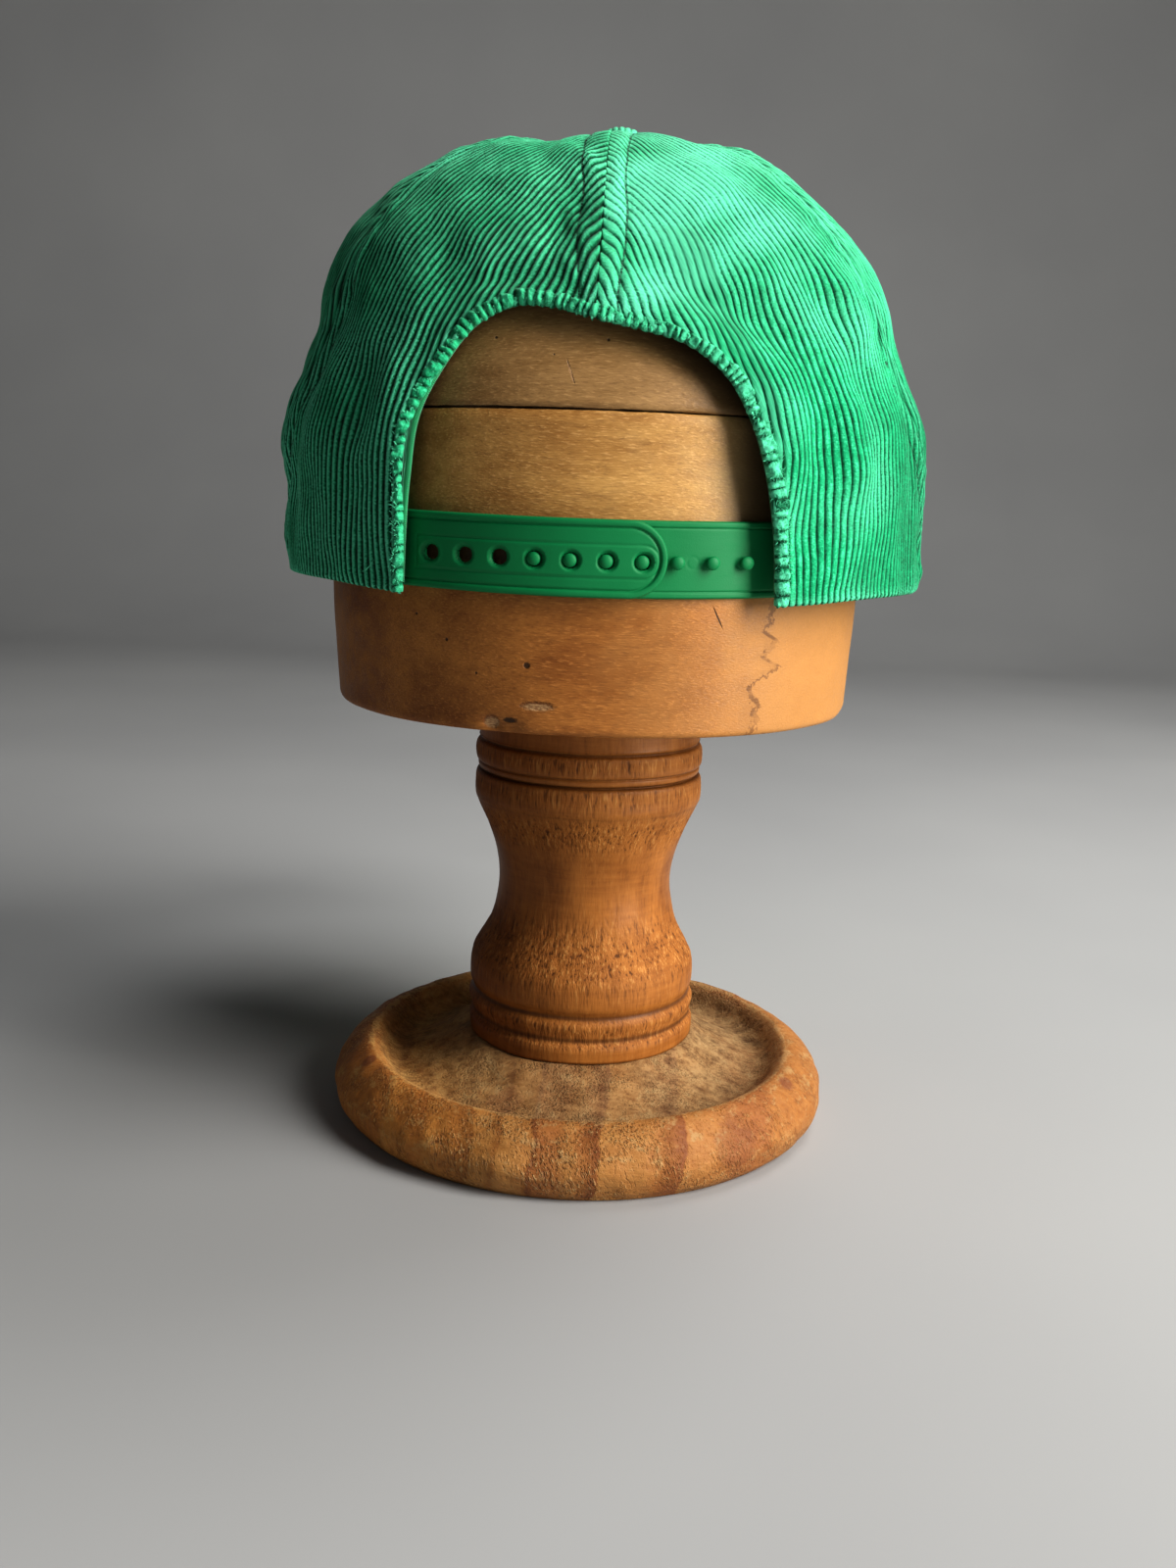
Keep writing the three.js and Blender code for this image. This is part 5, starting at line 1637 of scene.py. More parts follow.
@dataclass
class Peak:
    """Stiff peak: corduroy above and below a board, its wales running forwards."""

    crown: CrownShape
    half_angle: float = 60.0
    half_width: float = 89.0
    reach: float = 124.0
    corner_ease: float = 3.0
    thickness: float = 3.4
    plumpness: float = 2.3
    slope: float = 0.11
    curl: float = 16.0
    curl_reach: float = 60.0
    pitch: float = 1.85
    ridge: float = 0.5
    rows: int = 34

    def root(self, share: Array) -> Array:
        """Back edge under the rim, from share -1 to 1."""
        points = self.crown.smooth(180 - self.half_angle * share, np.zeros(np.shape(share)))
        return points - self.crown.outward(points) * self.crown.cloth

    def tip(self, share: Array) -> Array:
        """Front edge: a superellipse ahead of the corners, from share -1 to 1."""
        sweep = share * np.pi / 2
        corner = self.crown.smooth(180 - self.half_angle, 0.0)[1]
        power = 2 / self.plumpness
        x = -self.half_width * np.sign(np.sin(sweep)) * np.abs(np.sin(sweep)) ** power
        y = corner - self.reach * np.maximum(np.cos(sweep), 0) ** power
        return np.stack([x, y - self.corner_ease * np.abs(share), 0 * x], -1)

    def surface_height(self, x: Array, y: Array) -> Array:
        """Height over a place: the board drops forwards and curls down towards its sides.

        The lines from the back edge to the front one fan out. The line through the place is
        found by halving, and the drop is measured forwards from that line's root.
        """
        low, high = np.full(x.shape, -1.0), np.full(x.shape, 1.0)
        for _ in range(34):
            share = (low + high) / 2
            root, tip = self.root(share), self.tip(share)
            part = held((root[..., 1] - y) / np.minimum(tip[..., 1] - root[..., 1], -1e-3) * -1)
            line = root[..., 0] + (tip[..., 0] - root[..., 0]) * part
            right = line < x
            high = np.where(right, share, high)
            low = np.where(right, low, share)
        forward = np.maximum(self.root((low + high) / 2)[..., 1] - y, 0)
        aside = (x / self.half_width) ** 2
        drop = forward * self.slope + self.curl * aside * forward / self.curl_reach
        return self.crown.rim_height - GAP - drop

    def build(self, material: Material) -> Piece:
        """Builds the peak as one closed shell on columns that follow the wales."""
        shares = np.linspace(-1, 1, 1201)
        root, tip = self.root(shares), self.tip(shares)
        wide = self.half_width - 0.01
        whole = np.arange(-49, 49)
        x = ((whole[:, None] + COLUMN) * self.pitch).reshape(-1)
        x = np.concatenate([[-wide], x[np.abs(x) < wide - 0.1], [wide]])
        back = np.interp(x, root[::-1, 0], root[::-1, 1])
        ease = held((np.abs(x) - abs(root[0, 0])) / (wide - abs(root[0, 0])))
        back = back - self.corner_ease * ease
        front = np.minimum(np.interp(x, tip[::-1, 0], tip[::-1, 1]), back)
        front[[0, -1]] = back[[0, -1]]
        outline = np.concatenate([np.stack([x, back], -1), np.stack([x, front], -1)[::-1]])
        outline = np.concatenate([outline, np.zeros((len(outline), 1))], axis=1)
        near = np.array([0.0, 0.1, 0.3, 0.6, 1.0, 1.5, 2.1, 2.8])
        length = back - front
        slim = np.minimum(1, 0.45 * length / near[-1])[:, None]
        even = np.linspace(0, 1, self.rows)[None, 1:-1]
        inner = near[-1] * slim + even * (length[:, None] - 2 * near[-1] * slim)
        spots = np.concatenate([near * slim, inner, length[:, None] - (near * slim)[:, ::-1]], axis=1)
        y = back[:, None] - spots
        across = np.broadcast_to(x[:, None], y.shape)
        flat = np.stack([across, y, 0 * y], -1)
        edge, _ = nearest(flat, outline)
        edge[:, [0, -1]] = 0
        edge[[0, -1]] = 0
        height = self.surface_height(across, y)
        half = self.thickness / 2
        rolled = rolled_in(half, edge)
        ridge, alive = wale(across / self.pitch), rounding(edge / 1.2)
        front_gap, _ = nearest(flat, np.concatenate([tip[:, :2], 0 * tip[:, :1]], axis=1))
        rows = sum(bump(front_gap - place, 0.6) for place in (5.0, 14.0, 23.0, 32.0, 41.0, 50.0))
        soft = 0.25 * ripple(flat, 24.0, 41)
        surface = Surface()
        faces = grid_faces(*y.shape)
        for way in (1, -1):
            relief = (ridge - 0.6) * self.ridge * alive - 0.4 * rows * alive + soft * alive
            middle = height if way > 0 else height - self.thickness
            level = middle - way * rolled + way * relief
            level = np.where(edge > 0, level, height - half)
            points = np.stack([across, y, level], -1)
            cloth = np.stack([across, y], -1)
            wear = held(0.5 * bump(edge, 2.0) + 0.1)
            surface.add(points, faces[:, ::way], cloth, ridge * (0.4 + 0.6 * alive), wear)
        return surface.piece("peak_cord", material, "corduroy", "peak")


def closed_band(outer: Array, inner: Array, uv: Array, surface: Surface, wear: float = 0.0) -> None:
    """Adds a closed strip from an outer and an inner grid, joined along all four sides.

    Args:
        outer: grid of points of the outer face.
        inner: grid of the same shape behind it.
        uv: cloth place of each point.
        surface: what it is added to.
        wear: how worn it is.
    """
    ring = np.concatenate([outer, inner[:, ::-1], outer[:, :1]], axis=1)
    cloth = np.concatenate([uv, uv[:, ::-1], uv[:, :1]], axis=1)
    faces = grid_faces(*ring.shape[:2])
    surface.add(ring, faces, cloth, 0.7, wear)
    rows = outer.shape[1]
    for index, way in ((0, 1), (-1, -1)):
        end = np.stack([outer[index], inner[index]])
        surface.add(end, grid_faces(2, rows)[:, ::way], np.stack([uv[index], uv[index]]), 0.7, wear)


@dataclass
class Sweatband:
    """Band inside the rim, open at the arch, stitched along both of its edges."""

    crown: CrownShape
    height: float = 31.0
    thickness: float = 1.2
    start: float = 37.5
    lift: float = 0.6
    depth: float = 2.5

    def build(self, material: Material) -> Piece:
        """Builds the band on the crown's surface, a depth inside it, with thin edges."""
        crown = self.crown
        azimuth = -self.start - np.linspace(0, 1, 241) * (360 - 2 * self.start)
        up = np.array([0, 0.01, 0.03, 0.07, 0.12, 0.2, 0.35, 0.5, 0.65, 0.8, 0.88, 0.93, 0.97, 0.99, 1])
        height = crown.rim_height + self.lift + self.height * up
        rise = crown.rise_at(height)[None]
        around = np.broadcast_to(azimuth[:, None], (len(azimuth), len(up)))
        edge = self.height * np.minimum(up, 1 - up)
        pinch = 0.18 * bump(edge - 2.2, 0.7) + 0.3 * bump(edge, 0.5)
        outward = crown.outward(crown.point(around, rise))
        face = crown.point(around, rise, self.depth)
        outer = face - outward * pinch[None, :, None]
        inner = face - outward * (self.thickness - pinch)[None, :, None]
        run = np.radians(azimuth)[:, None] * 95 + 0 * up
        uv = np.stack([run, np.broadcast_to(height, run.shape)], -1)
        surface = Surface()
        closed_band(outer, inner, uv, surface)
        return surface.piece("sweatband_woven", material, "binding", "sweatband")


@dataclass
class ArchTape:
    """Woven tape inside the arch, from its edge outwards over the panels' inner face."""

    crown: CrownShape
    width: float = 7.0
    thickness: float = 0.8
    near_edge: float = 0.6
    shown: float = 1.9

    def build(self, material: Material) -> Piece:
        """Builds the tape along the arch's edge, following its curl."""
        crown = self.crown
        share = 0.012 + np.linspace(0, 1, 241) * 0.976
        place = share * (len(crown.arch_edge) - 1)
        index = np.arange(len(crown.arch_edge))
        azimuth = np.interp(place, index, crown.arch_edge[:, 0])
        rise = crown.rise_at(np.interp(place, index, crown.arch_edge[:, 1]))
        middle = crown.point(azimuth, rise)
        run = np.gradient(middle, axis=0)
        out = crown.outward(middle)
        off = unit(np.cross(out, run))
        upward = crown.point(azimuth, rise + 0.01) - middle
        climb_way = unit(upward)
        level = np.cross(climb_way, out)
        across = np.linspace(0, 1, 9)
        past = self.shown * bump((middle[:, 2] - 204) / 15, 1.0) * (azimuth < 0)
        reach = (self.near_edge - past)[:, None] + across * self.width
        rate = np.linalg.norm(upward, axis=1) / 0.01
        climb = reach * ((off * climb_way).sum(1) / rate)[:, None]
        sideways = reach * (off * level).sum(1)[:, None]
        radius = np.maximum(np.linalg.norm(middle[:, :2], axis=1), 1)[:, None]
        around = azimuth[:, None] + np.degrees(sideways / radius)
        rises = np.maximum(rise[:, None] + climb, 0.002)
        curl = 0.5 * held(1 - reach / 4.0) ** 2
        start = crown.cloth + GAP + curl
        outward = crown.outward(crown.point(around, rises))
        base = crown.point(around, rises)
        ribs = 0.05 * np.sin(reach * 2 * np.pi / 1.4)
        outer = base - outward * (start + ribs)[..., None]
        inner = base - outward * (start + self.thickness)[..., None]
        along = run_of(middle)[:, None] + 0 * reach
        uv = np.stack([along, reach], -1)
        surface = Surface()
        closed_band(outer, inner, uv, surface)
        return surface.piece("arch_tape_woven", material, "binding", "arch_binding")


class Tongue(Enum):
    """The strap's two tongues."""

    HOLED = "holes"
    PEGGED = "pegs"


@dataclass
class SnapStrap:
    """Moulded snap strap: a raised rim, an outlined panel, countersunk holes and round pegs."""

    radius: float = 80.0
    centre_y: float = 14.6
    width: float = 19.2
    height: float = 181.0
    sag: float = 0.7
    half_span: float = 52.0
    pitch: float = 8.95
    snap: float = -0.6
    holed_tip: float = -17.8
    holed_thick: float = 1.6
    first_hole: float = -11.7
    hole: float = 1.95
    lip: float = 2.75
    pegged_tip: float = 21.2
    pegged_thick: float = 1.4
    first_peg: float = -38.3
    count: int = 7
    cell: float = 0.32

    def point(self, x: Array, up: Array, depth: Array) -> Array:
        """Place on the strap's arc: x across the back, up from its middle line, depth inwards."""
        turn = np.arcsin(np.clip(x / self.radius, -1, 1))
        sag = self.sag * (1 - (x / self.half_span) ** 2)
        reach = self.radius - depth
        return np.stack(
            [reach * np.sin(turn), self.centre_y + reach * np.cos(turn), self.height - sag + up + 0 * depth],
            -1,
        )

    def edge_gap(self, x: Array, up: Array, bend: float, heading: int) -> Array:
        """Distance inwards from the tongue's outline, a strip with one round end."""
        past = np.maximum((x - bend) * heading, 0)
        return self.width / 2 - np.hypot(past, up)

    def relief(self, x: Array, up: Array, kind: Tongue) -> Array:
        """Height of the outer face above its plain level."""
        half = self.width / 2
        heading = -1 if kind is Tongue.HOLED else 1
        tip = self.holed_tip if kind is Tongue.HOLED else self.pegged_tip
        bend = tip - heading * half
        gap = self.edge_gap(x, up, bend, heading)
        rounded = -0.45 * held(1 - gap / 0.5) ** 2
        if kind is Tongue.PEGGED:
            ring = np.hypot(x + 24.7, up - self.snap)
            mark = -0.07 * bump(ring - 1.5, 0.22)
            return rounded - 0.26 * bump(gap - 1.75, 0.2) + 0.16 * (gap < 1.6) * (gap > 0.3) + mark
        bead = 0.34 * held(1 - ((gap - 0.85) / 0.85) ** 2) ** 0.5
        groove = -0.34 * bump(gap - 1.95, 0.24)
        ahead = np.maximum(self.first_hole - x, 0)
        behind = np.maximum(x - (self.first_hole + 6 * self.pitch + 0.9), 0)
        panel = 4.05 - np.maximum(np.hypot(ahead, up - self.snap), behind + 1.4 * (behind > 0))
        step = 0.16 * held(panel / 0.3 + 0.5) - 0.3 * bump(panel, 0.24)
        return rounded + bead + groove + step

    def tongue(self, kind: Tongue) -> Surface:
        """Fine grid of one tongue, front and back, with its holes cut through.

        Points near a hole's rim are moved onto it, so that the hole is round, and faces within
        it are left out. A wall then joins the front to the back.
        """
        half = self.width / 2
        holed = kind is Tongue.HOLED
        heading = -1 if holed else 1
        tip = self.holed_tip if holed else self.pegged_tip
        base = 0.0 if holed else self.holed_thick + GAP
        thick = self.holed_thick if holed else self.pegged_thick
        bend = tip - heading * half
        straight = np.arange(0, self.half_span + heading * bend, self.cell)
        straight = -heading * self.half_span + heading * straight
        nose = bend + heading * half * np.sin(np.linspace(0, 0.5 * np.pi, 40)[1:])
        x = np.concatenate([straight, nose])
        near = np.array([0.0, 0.08, 0.2, 0.36, 0.55, 0.8, 1.1, 1.4, 1.6, 1.75, 1.9, 2.05, 2.25, 2.5])
        middle = np.arange(2.8 - half, half - 2.75, self.cell)
        rows = np.concatenate([near - half, middle, (half - near)[::-1]])
        past = held((x - bend) * heading / half)
        shrink = np.sqrt(held(1 - past**2))
        gx = np.broadcast_to(x[:, None], (len(x), len(rows))).copy()
        gu = shrink[:, None] * rows
        cut = np.zeros(gx.shape, bool)
        sink = np.zeros(gx.shape)
        if holed:
            for number in range(self.count):
                cx = self.first_hole + number * self.pitch
                away = np.hypot(gx - cx, gu - self.snap)
                for ring in (self.lip, self.hole):
                    close = np.abs(away - ring) < self.cell * 0.55
                    scale = np.where(close, ring / np.maximum(away, 1e-6), 1)
                    gx = cx + (gx - cx) * scale
                    gu = self.snap + (gu - self.snap) * scale
                    away = np.hypot(gx - cx, gu - self.snap)
                sink = np.maximum(sink, 0.75 * held((self.lip - away) / (self.lip - self.hole)) ** 0.8)
                sink -= 0.12 * bump(away - self.lip - 0.25, 0.2)
                cut |= away < self.hole - 1e-4
        gap = self.edge_gap(gx, gu, bend, heading)
        front = self.point(gx, gu, base - self.relief(gx, gu, kind) + sink)
        back_depth = base + thick - 0.35 * held(1 - gap / 0.4) ** 2
        back = self.point(gx, gu, back_depth)
        faces = grid_faces(*gx.shape)
        inside = cut.reshape(-1)[faces].any(1)
        kept = faces[~inside]
        total = gx.size
        surface = Surface()
        walls = self.rim_walls(kept, total)
        surface.add(np.stack([front, back]), np.concatenate([kept, kept[:, ::-1] + total, walls]), None, 1.0)
        return surface

    @staticmethod
    def rim_walls(faces: Array, total: int) -> Array:
        """Faces that join each open edge of the front to the same edge of the back."""
        start = faces.reshape(-1)
        end = np.roll(faces, -1, axis=1).reshape(-1)
        key, other = start * total + end, end * total + start
        lone = ~np.isin(key, other)
        a, b = start[lone], end[lone]
        return np.stack([b, a, a + total, b + total], -1)

    def peg_dome(self, surface: Surface, x: float) -> None:
        """Adds one round-headed peg: a neck, a wide round head and a small flat on its top."""
        base = self.holed_thick + GAP
        profile = np.array(
            [(0.0, -0.2), (1.9, -0.2), (1.75, 0.0), (1.5, 0.12)]
            + [(1.42, 0.35), (1.42, 1.0), (1.62, 1.2), (1.74, 1.45)]
            + [(1.74 * np.cos(t), 1.45 + 0.98 * np.sin(t)) for t in np.linspace(0.15, np.pi / 2, 9)]
        )
        profile[-1, 0] = 0
        turn = turns(32)
        dx = np.outer(np.cos(turn), profile[:, 0])
        up = np.outer(np.sin(turn), profile[:, 0])
        depth = base - np.broadcast_to(profile[:, 1], dx.shape)
        surface.add(self.point(x + dx, self.snap + up, depth), grid_faces(*dx.shape, closed=True), None, 1.0)

    def build(self, material: Material) -> None:
        """Builds both tongues, the pegs with the inner one."""
        for kind in Tongue:
            surface = self.tongue(kind)
            if kind is Tongue.PEGGED:
                for number in range(self.count):
                    self.peg_dome(surface, self.first_peg + number * self.pitch)
            surface.piece(f"snap_strap_{kind.value}", material, "strap_plastic", f"strap_{kind.value}")


# The hat stand


@dataclass
class HatBlock:
    """Oval hat block of two boards, with its joint opened a little and its foot chipped."""

    # height, half-width, half-size to the back and to the front
    sections: Array = table(
        (135.0, 76.6, 88.1, 90.0), (136.8, 77.8, 89.2, 91.1), (150.0, 78.6, 89.7, 91.6),
        (170.0, 79.5, 90.0, 92.0), (215.85, 79.5, 88.6, 91.2), (216.15, 79.5, 88.5, 91.1),
        (226.0, 79.0, 85.5, 89.5), (236.0, 77.0, 80.6, 86.5), (247.0, 73.5, 74.2, 81.5),
        (258.0, 69.0, 66.5, 75.0), (268.0, 62.5, 58.0, 67.5), (277.0, 53.0, 48.5, 58.0),
        (284.0, 42.0, 37.5, 46.5), (288.0, 27.5, 24.5, 31.0), (289.5, 12.5, 11.5, 14.0),
    )
    top: float = 289.9
    split: int = 5

    def ring(self, rows: Array, around: Array) -> Array:
        """Superellipse of each section in each direction, turn 0 at the back."""
        half_x = rows[None, :, 1]
        half_y = np.where(np.cos(around)[:, None] > 0, rows[None, :, 2], rows[None, :, 3])
        across = np.abs(np.sin(around)[:, None] / half_x) ** OVAL_POWER
        ahead = np.abs(np.cos(around)[:, None] / half_y) ** OVAL_POWER
        radius = (across + ahead) ** (-1 / OVAL_POWER)
        height = np.broadcast_to(rows[None, :, 0], radius.shape)
        return np.stack([-radius * np.sin(around)[:, None], radius * np.cos(around)[:, None], height], -1)

    def build(self, lower: Material, upper: Material) -> None:
        """Builds both boards."""
        around = turns(360)
        rows = smooth_rows(self.sections[1 : self.split], 14)
        foot = np.array([(135.0, 0.0, 0.0, 0.0)])
        sweep = np.linspace(0, np.pi / 2, 6)[:-1]
        drop = 136.8 - 1.8 * np.cos(sweep)
        inset = 1.3 * (1 - np.sin(sweep))
        edge = np.stack([drop, 77.8 - inset, 89.2 - inset, 91.1 - inset], -1)
        mouth = np.array([(215.85, 78.9, 88.0, 90.6), (215.85, 0.0, 0.0, 0.0)])
        rows[-1, 0] -= 0.5
        rows = np.concatenate([foot + [0, 1e-3, 1e-3, 1e-3], edge, rows, mouth + 1e-3])
        self.board("block_lower", rows, around, lower, 0.35)
        rows = smooth_rows(self.sections[self.split :], 5)
        mouth = np.array([(216.15, 1e-3, 1e-3, 1e-3), (216.15, 78.9, 87.9, 90.5)])
        rows[0, 0] += 0.5
        tip = np.array([(289.85, 6.0, 5.5, 7.0), (self.top, 1e-3, 1e-3, 1e-3)])
        self.board("block_upper", np.concatenate([mouth, rows, tip]), around, upper, 0.3)

    def board(self, node: str, rows: Array, around: Array, material: Material, uneven: float) -> None:
        """Builds one board from its sections, slightly uneven, with the chips and the dent.

        Args:
            node: the node that it stands for.
            rows: its sections from below.
            around: directions of its points.
            material: its finish.
            uneven: how far the surface wanders.
        """
        points = self.ring(rows, around)
        out = unit(points * LEVEL)
        size = held(np.linalg.norm(points[..., :2], axis=-1) / 30)
        offset = uneven * ripple(points, 45.0, 51) * size
        for x, z, across, along, depth in (
            (24.8, 136.6, 2.6, 1.8, 1.6), (20.0, 136.6, 2.2, 1.6, 0.9),
        ):
            spot = bump((points[..., 0] - x) / across, 1.0) * bump((points[..., 2] - z) / along, 1.0)
            offset = offset - depth * spot * (points[..., 1] > 0) * size
        points = points + out * offset[..., None]
        joint = np.abs(points[..., 2] - JOINT) < 1.0
        ragged = 0.16 * ripple(points * LEVEL, 9.0, 53) - 0.1
        away = np.sign(points[..., 2] - JOINT)
        points[..., 2] += np.where(joint & (size > 0.9), ragged * away * 0.6, 0)
        surface = Surface()
        surface.add(points, grid_faces(*points.shape[:2], closed=True), None, 1.0)
        surface.piece(f"{node}_wood", material, "pale_wood" if node == "block_upper" else "brown_wood", node)


@dataclass
class TurnedPost:
    """Turned post: beads and grooves above and below a waisted shaft with torn grain."""

    # height, radius
    profile: Array = table(
        (134.7, 34.5), (122.6, 34.8), (121.2, 35.0), (120.2, 34.3), (119.2, 35.5), (116.6, 35.9),
        (113.9, 35.7), (113.1, 34.9), (112.4, 35.2), (111.2, 35.0), (110.4, 34.1), (109.4, 35.7),
        (103.5, 36.0), (100.4, 35.0), (92.8, 31.6), (84.0, 28.8), (76.0, 27.7), (68.4, 28.3), (60.8, 30.2),
        (54.0, 33.8), (49.0, 35.9), (42.0, 36.1), (38.9, 35.1), (36.0, 36.4), (31.4, 35.4), (29.0, 36.4),
        (24.6, 36.3),
    )

    # height, half-width and depth of each dark groove
    cuts: tuple = (
        (120.3, 0.7, 0.7), (113.1, 0.6, 0.45), (110.5, 0.9, 0.7), (38.7, 0.9, 0.85), (31.6, 0.9, 0.8),
        (101.0, 0.6, 0.35),
    )

    def build(self, material: Material) -> None:
        """Builds the post as a fine lathe, with its torn grain marked for the finish."""
        rows = smooth_rows(self.profile, 6)
        height = rows[:, 0]
        torn = bump(height - 56, 11.0) + 0.9 * bump(height - 95, 6.0) + 0.9 * bump(height - 117, 2.6)
        torn = torn + 0.8 * bump(height - 107, 3.0) + 0.8 * bump(height - 35, 3.0)
        torn = torn + 0.7 * bump(height - 30, 2.0)
        groove = 1 - sum(depth * bump(height - place, wide) for place, wide, depth in self.cuts)
        place = lathe(rows, 240)
        fine = 0.1 * ripple(place * np.array([1, 1, 0.25]), 2.6, 62) * torn
        uneven = 0.16 * ripple(place, 22.0, 61) + fine
        points = capped(place + unit(place * LEVEL) * uneven[..., None], rows)
        torn = held(np.concatenate([[0], torn, [0]]))
        groove = held(np.concatenate([[1], groove, [1]]))
        surface = Surface()
        surface.add(points, grid_faces(*points.shape[:2], closed=True), None, groove[None], torn[None])
        surface.piece("post_wood", material, "brown_wood", "post")


@dataclass
class DishedBase:
    """Round foot with a worn, rounded rim round a shallow dish."""

    # height, radius, from the underside over the rim to the post
    profile: Array = table(
        (0.0, 75.5), (3.5, 78.6), (9.5, 80.0), (15.5, 77.0), (19.6, 72.5), (20.8, 68.6), (19.2, 65.6),
        (15.2, 62.0), (14.2, 57.0), (18.6, 46.0), (24.3, 37.0),
    )

    def build(self, material: Material) -> None:
        """Builds the foot as a fine lathe that is a little out of true."""
        rows = smooth_rows(self.profile, 8)
        height, radius = rows[:, 0], rows[:, 1]
        place = lathe(rows, 360)
        lifted = held(place[..., 2] / 3)
        out = unit(place * LEVEL * (height > 1)[None, :, None] + np.array([0, 0, 25.0]) * lifted[..., None])
        uneven = 0.35 * ripple(place, 30.0, 71) + 0.22 * ripple(place, 9.0, 72)
        points = capped(place + out * (uneven * lifted)[..., None], rows)
        floor = held((68.5 - radius) / 4)
        floor = np.concatenate([[0], floor, [1]])
        surface = Surface()
        surface.add(points, grid_faces(*points.shape[:2], closed=True), None, 1.0, floor[None])
        surface.piece("base_wood", material, "brown_wood", "base")


# The studio


@dataclass
class Studio:
    """Floor, backdrop, soft lights and the camera at the picture's viewing angle."""

    distance: float = 441.0
    height: float = 194.0
    pitch: float = 11.4
    roll: float = 2.0
    focal_pixels: float = 1430.0
    sensor: float = 36.0

    def build(self) -> None:
        """Builds the whole studio."""
        self.camera()
        self.floor()
        self.light("key", (-1.12, 0.59, 0.78), (0.62, 1.4), 50.0, (1.0, 0.985, 0.955))
        self.light("top", (-0.55, -0.35, 1.25), (0.6, 0.6), 9.0, (1.0, 1.0, 1.0))
        self.light("fill", (0.3, 1.5, 0.35), (0.9, 0.9), 1.3, (0.95, 0.98, 1.0))
        world = bpy.data.worlds.new("studio")
        bpy.context.scene.world = world
        world.use_nodes = True
        world.node_tree.nodes["Background"].inputs[0].default_value = (0.72, 0.76, 0.8, 1.0)
        world.node_tree.nodes["Background"].inputs[1].default_value = 0.075
        bpy.context.scene.view_settings.view_transform = "Standard"
        bpy.context.scene.view_settings.gamma = 0.86

    def camera(self) -> None:
        """Camera behind the cap, pitched down and rolled as the picture is."""
        pitch, roll = np.radians(self.pitch), np.radians(self.roll)
        ahead = Vector((0, -np.cos(pitch), -np.sin(pitch)))
        aside = Vector((-1, 0, 0))
        upward = aside.cross(ahead)
        right = aside * np.cos(roll) + upward * np.sin(roll)
        over = upward * np.cos(roll) - aside * np.sin(roll)
        turn = Matrix((right, over, -ahead)).transposed().to_4x4()
        data = bpy.data.cameras.new("camera")
        data.sensor_fit = "VERTICAL"
        data.sensor_height = self.sensor
        data.lens = self.focal_pixels / PHOTO_SIZE[1] * self.sensor
        data.clip_start = 0.01
        camera = bpy.data.objects.new("camera", data)
        camera.matrix_world = Matrix.Translation((0, self.distance * MM, self.height * MM)) @ turn
        bpy.context.scene.collection.objects.link(camera)
        bpy.context.scene.camera = camera

    def floor(self) -> None:
        """Pale floor that curves up into a backdrop behind the peak."""
        sweep = np.linspace(0, np.pi / 2, 24)
        y = np.concatenate([[2500.0], -1300 - 700 * np.sin(sweep), [-2000.0]])
        z = np.concatenate([[0.0], 700 - 700 * np.cos(sweep), [3500.0]])
        x = np.array([-4000.0, 4000.0])
        points = np.stack(np.broadcast_arrays(x[:, None], y[None], z[None]), -1)
        mesh = bpy.data.meshes.new("studio_floor")
        faces = grid_faces(*points.shape[:2])[:, ::-1]
        mesh.from_pydata((points.reshape(-1, 3) * MM).tolist(), [], faces.tolist())
        mesh.polygons.foreach_set("use_smooth", np.ones(len(faces), bool))
        mesh.materials.append(Paper("studio_paper").material())
        floor = bpy.data.objects.new("studio_floor", mesh)
        bpy.context.scene.collection.objects.link(floor)

    def light(self, name: str, place: tuple, size: tuple, power: float, colour: tuple) -> None:
        """Soft light that faces the cap.

        Args:
            name: the light's name.
            place: where it stands, in metres.
            size: its width and height, in metres.
            power: its power in watts.
            colour: its colour.
        """
        data = bpy.data.lights.new(name, "AREA")
        data.shape = "RECTANGLE"
        data.size, data.size_y = size
        data.energy = power
        data.color = colour
        light = bpy.data.objects.new(name, data)
        light.location = place
        aim = Vector((0, 0, 0.19)) - Vector(place)
        light.rotation_euler = aim.to_track_quat("-Z", "Y").to_euler()
        bpy.context.scene.collection.objects.link(light)


@dataclass
class DressedCap:
    """The cap's cloth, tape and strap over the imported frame."""

    crown: CrownShape = field(default_factory=CrownShape)

    def build(self) -> None:
        """Builds every piece of the cap."""
        cord = Corduroy("green_corduroy").material()
        tape = Tape("green_tape").material()
        panels = [CordPanel(self.crown, Part.FRONT, 1, seed=5)]
        for side in (-1, 1):
            panels.append(CordPanel(self.crown, Part.BACK, side, seed=20 + side))
            panels.append(CordPanel(self.crown, Part.SIDE, side, seed=30 + side))
        for panel in panels:
            panel.build(cord)
        ArchHem(self.crown).build(cord)
        Fray(self.crown).build(cord)
        TopButton().build(cord)
        Peak(self.crown).build(cord)
        Sweatband(self.crown).build(tape)
        ArchTape(self.crown).build(tape)
        SnapStrap().build(MouldedPlastic("green_strap_plastic").material())


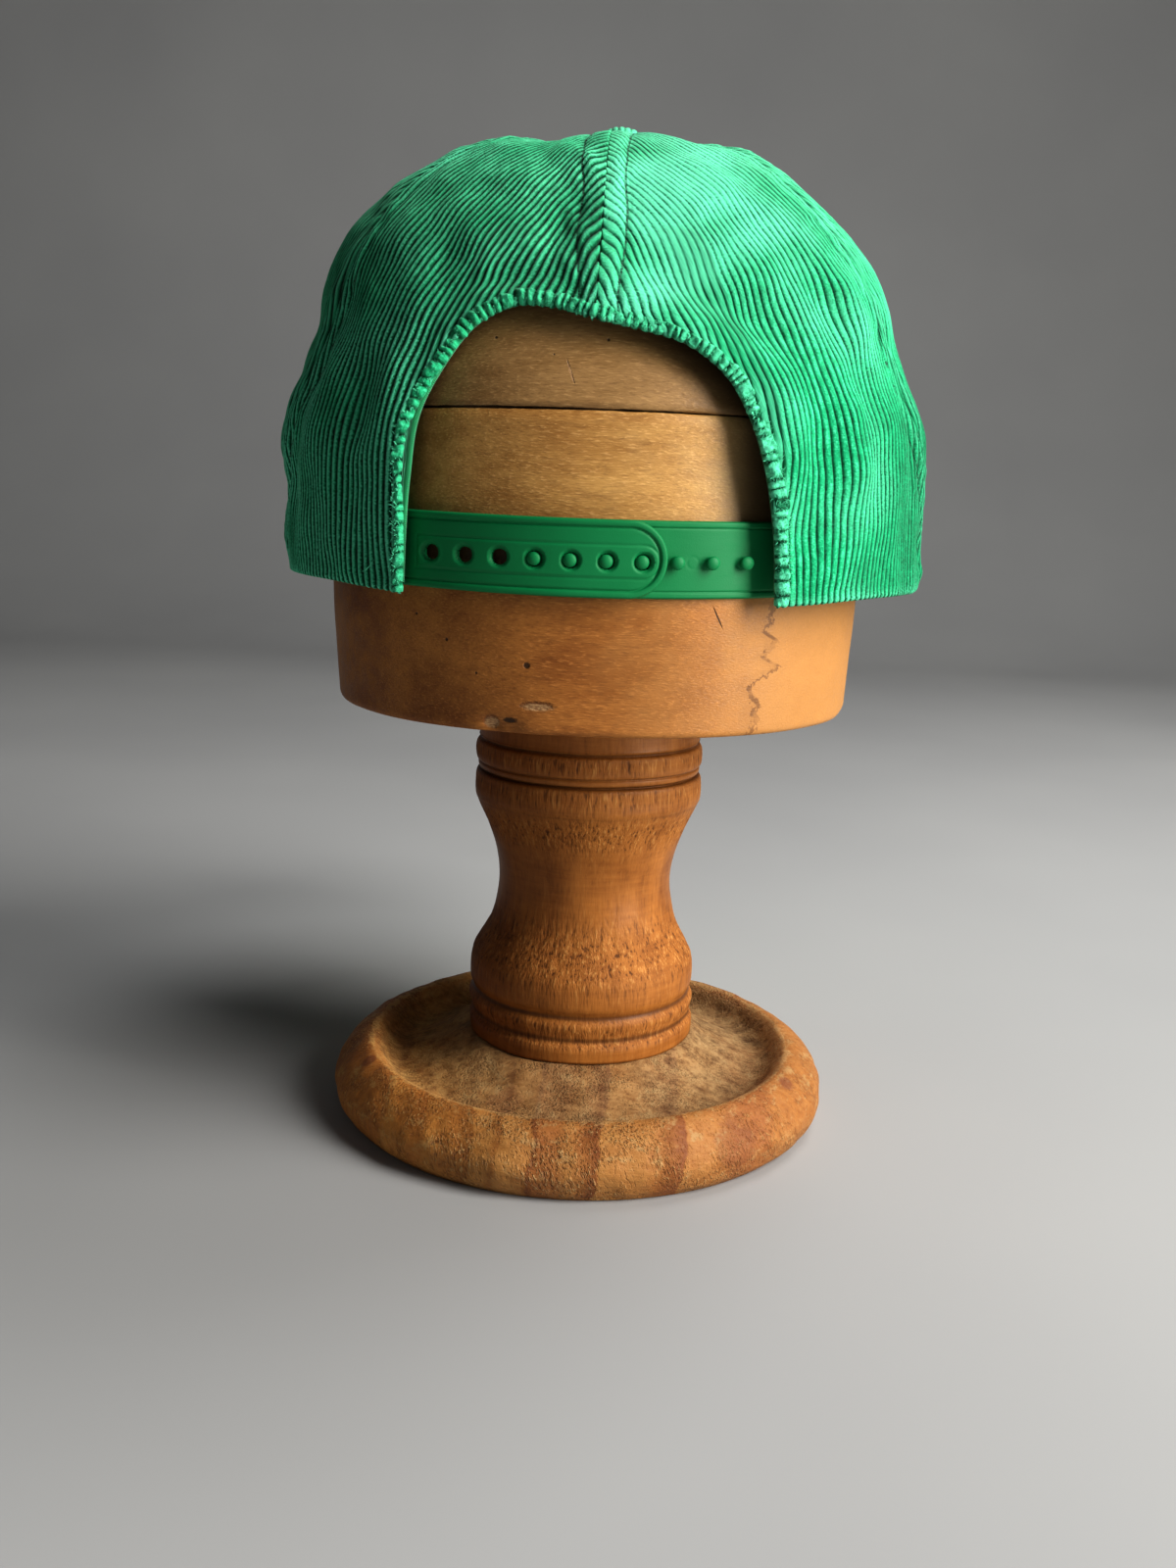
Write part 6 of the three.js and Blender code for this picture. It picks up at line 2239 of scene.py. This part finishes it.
@dataclass
class DressedStand:
    """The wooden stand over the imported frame."""

    def build(self) -> None:
        """Builds the block, the post and the base."""
        lower = BlockWood(
            "brown_block_wood",
            pale=(0.46, 0.185, 0.036),
            deep=(0.2, 0.058, 0.007),
            fleck=(0.12, 0.035, 0.006),
            covered=(1.3, 1.9, 3.0),
            # lighter towards the right side, where the light falls: painted light
            worn=(0.46, 0.23, 0.07),
            # the last three spots, behind the strap's three open holes, are painted shade, not holes in the
            # wood
            holes=(
                (16.6, 152.8, 0.75, 0.75, 0.0), (-31.4, 166.2, 0.22, 2.6, -0.5),
                (37.6, 158.0, 0.4, 0.4, 0.0), (29.6, 150.0, 0.35, 0.35, 0.0), (20.6, 138.4, 1.7, 0.7, 0.0),
                (46.0, 164.0, 0.3, 0.3, 0.0), (41.4, 182.0, 4.4, 4.4, 0.0), (32.8, 182.0, 4.4, 4.4, 0.0),
                (23.8, 182.0, 4.4, 4.4, 0.0),
            ),
            chips=((13.4, 142.2, 3.8, 0.9, 0.06), (25.2, 137.4, 1.8, 1.5, 0.0)),
            clouded=0.7,
            stained=True,
        )
        upper = BlockWood(
            "pale_block_wood",
            pale=(0.42, 0.225, 0.078),
            deep=(0.2, 0.094, 0.027),
            fleck=(0.12, 0.05, 0.014),
            covered=(0.9, 1.0, 1.1),
            # darker towards the right side: painted shade under the arch's right edge
            worn=(0.24, 0.12, 0.04),
            holes=(
                (26.6, 233.0, 0.35, 0.35, 0.0), (-1.2, 233.0, 0.35, 0.35, 0.0), (12.0, 229.0, 0.2, 0.2, 0.0),
            ),
            chips=((7.5, 224.6, 0.22, 2.2, -0.36),),
            clouded=0.35,
        )
        HatBlock().build(lower.material(), upper.material())
        TurnedPost().build(PostWood("turned_post_wood").material())
        DishedBase().build(BaseWood("dished_base_wood").material())


def main() -> None:
    """Builds the studio, the cap and the stand over the frame."""
    logging.basicConfig(level=logging.INFO, format="%(name)s: %(message)s")
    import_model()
    Studio().build()
    DressedCap().build()
    DressedStand().build()


if __name__ == "__main__":
    main()
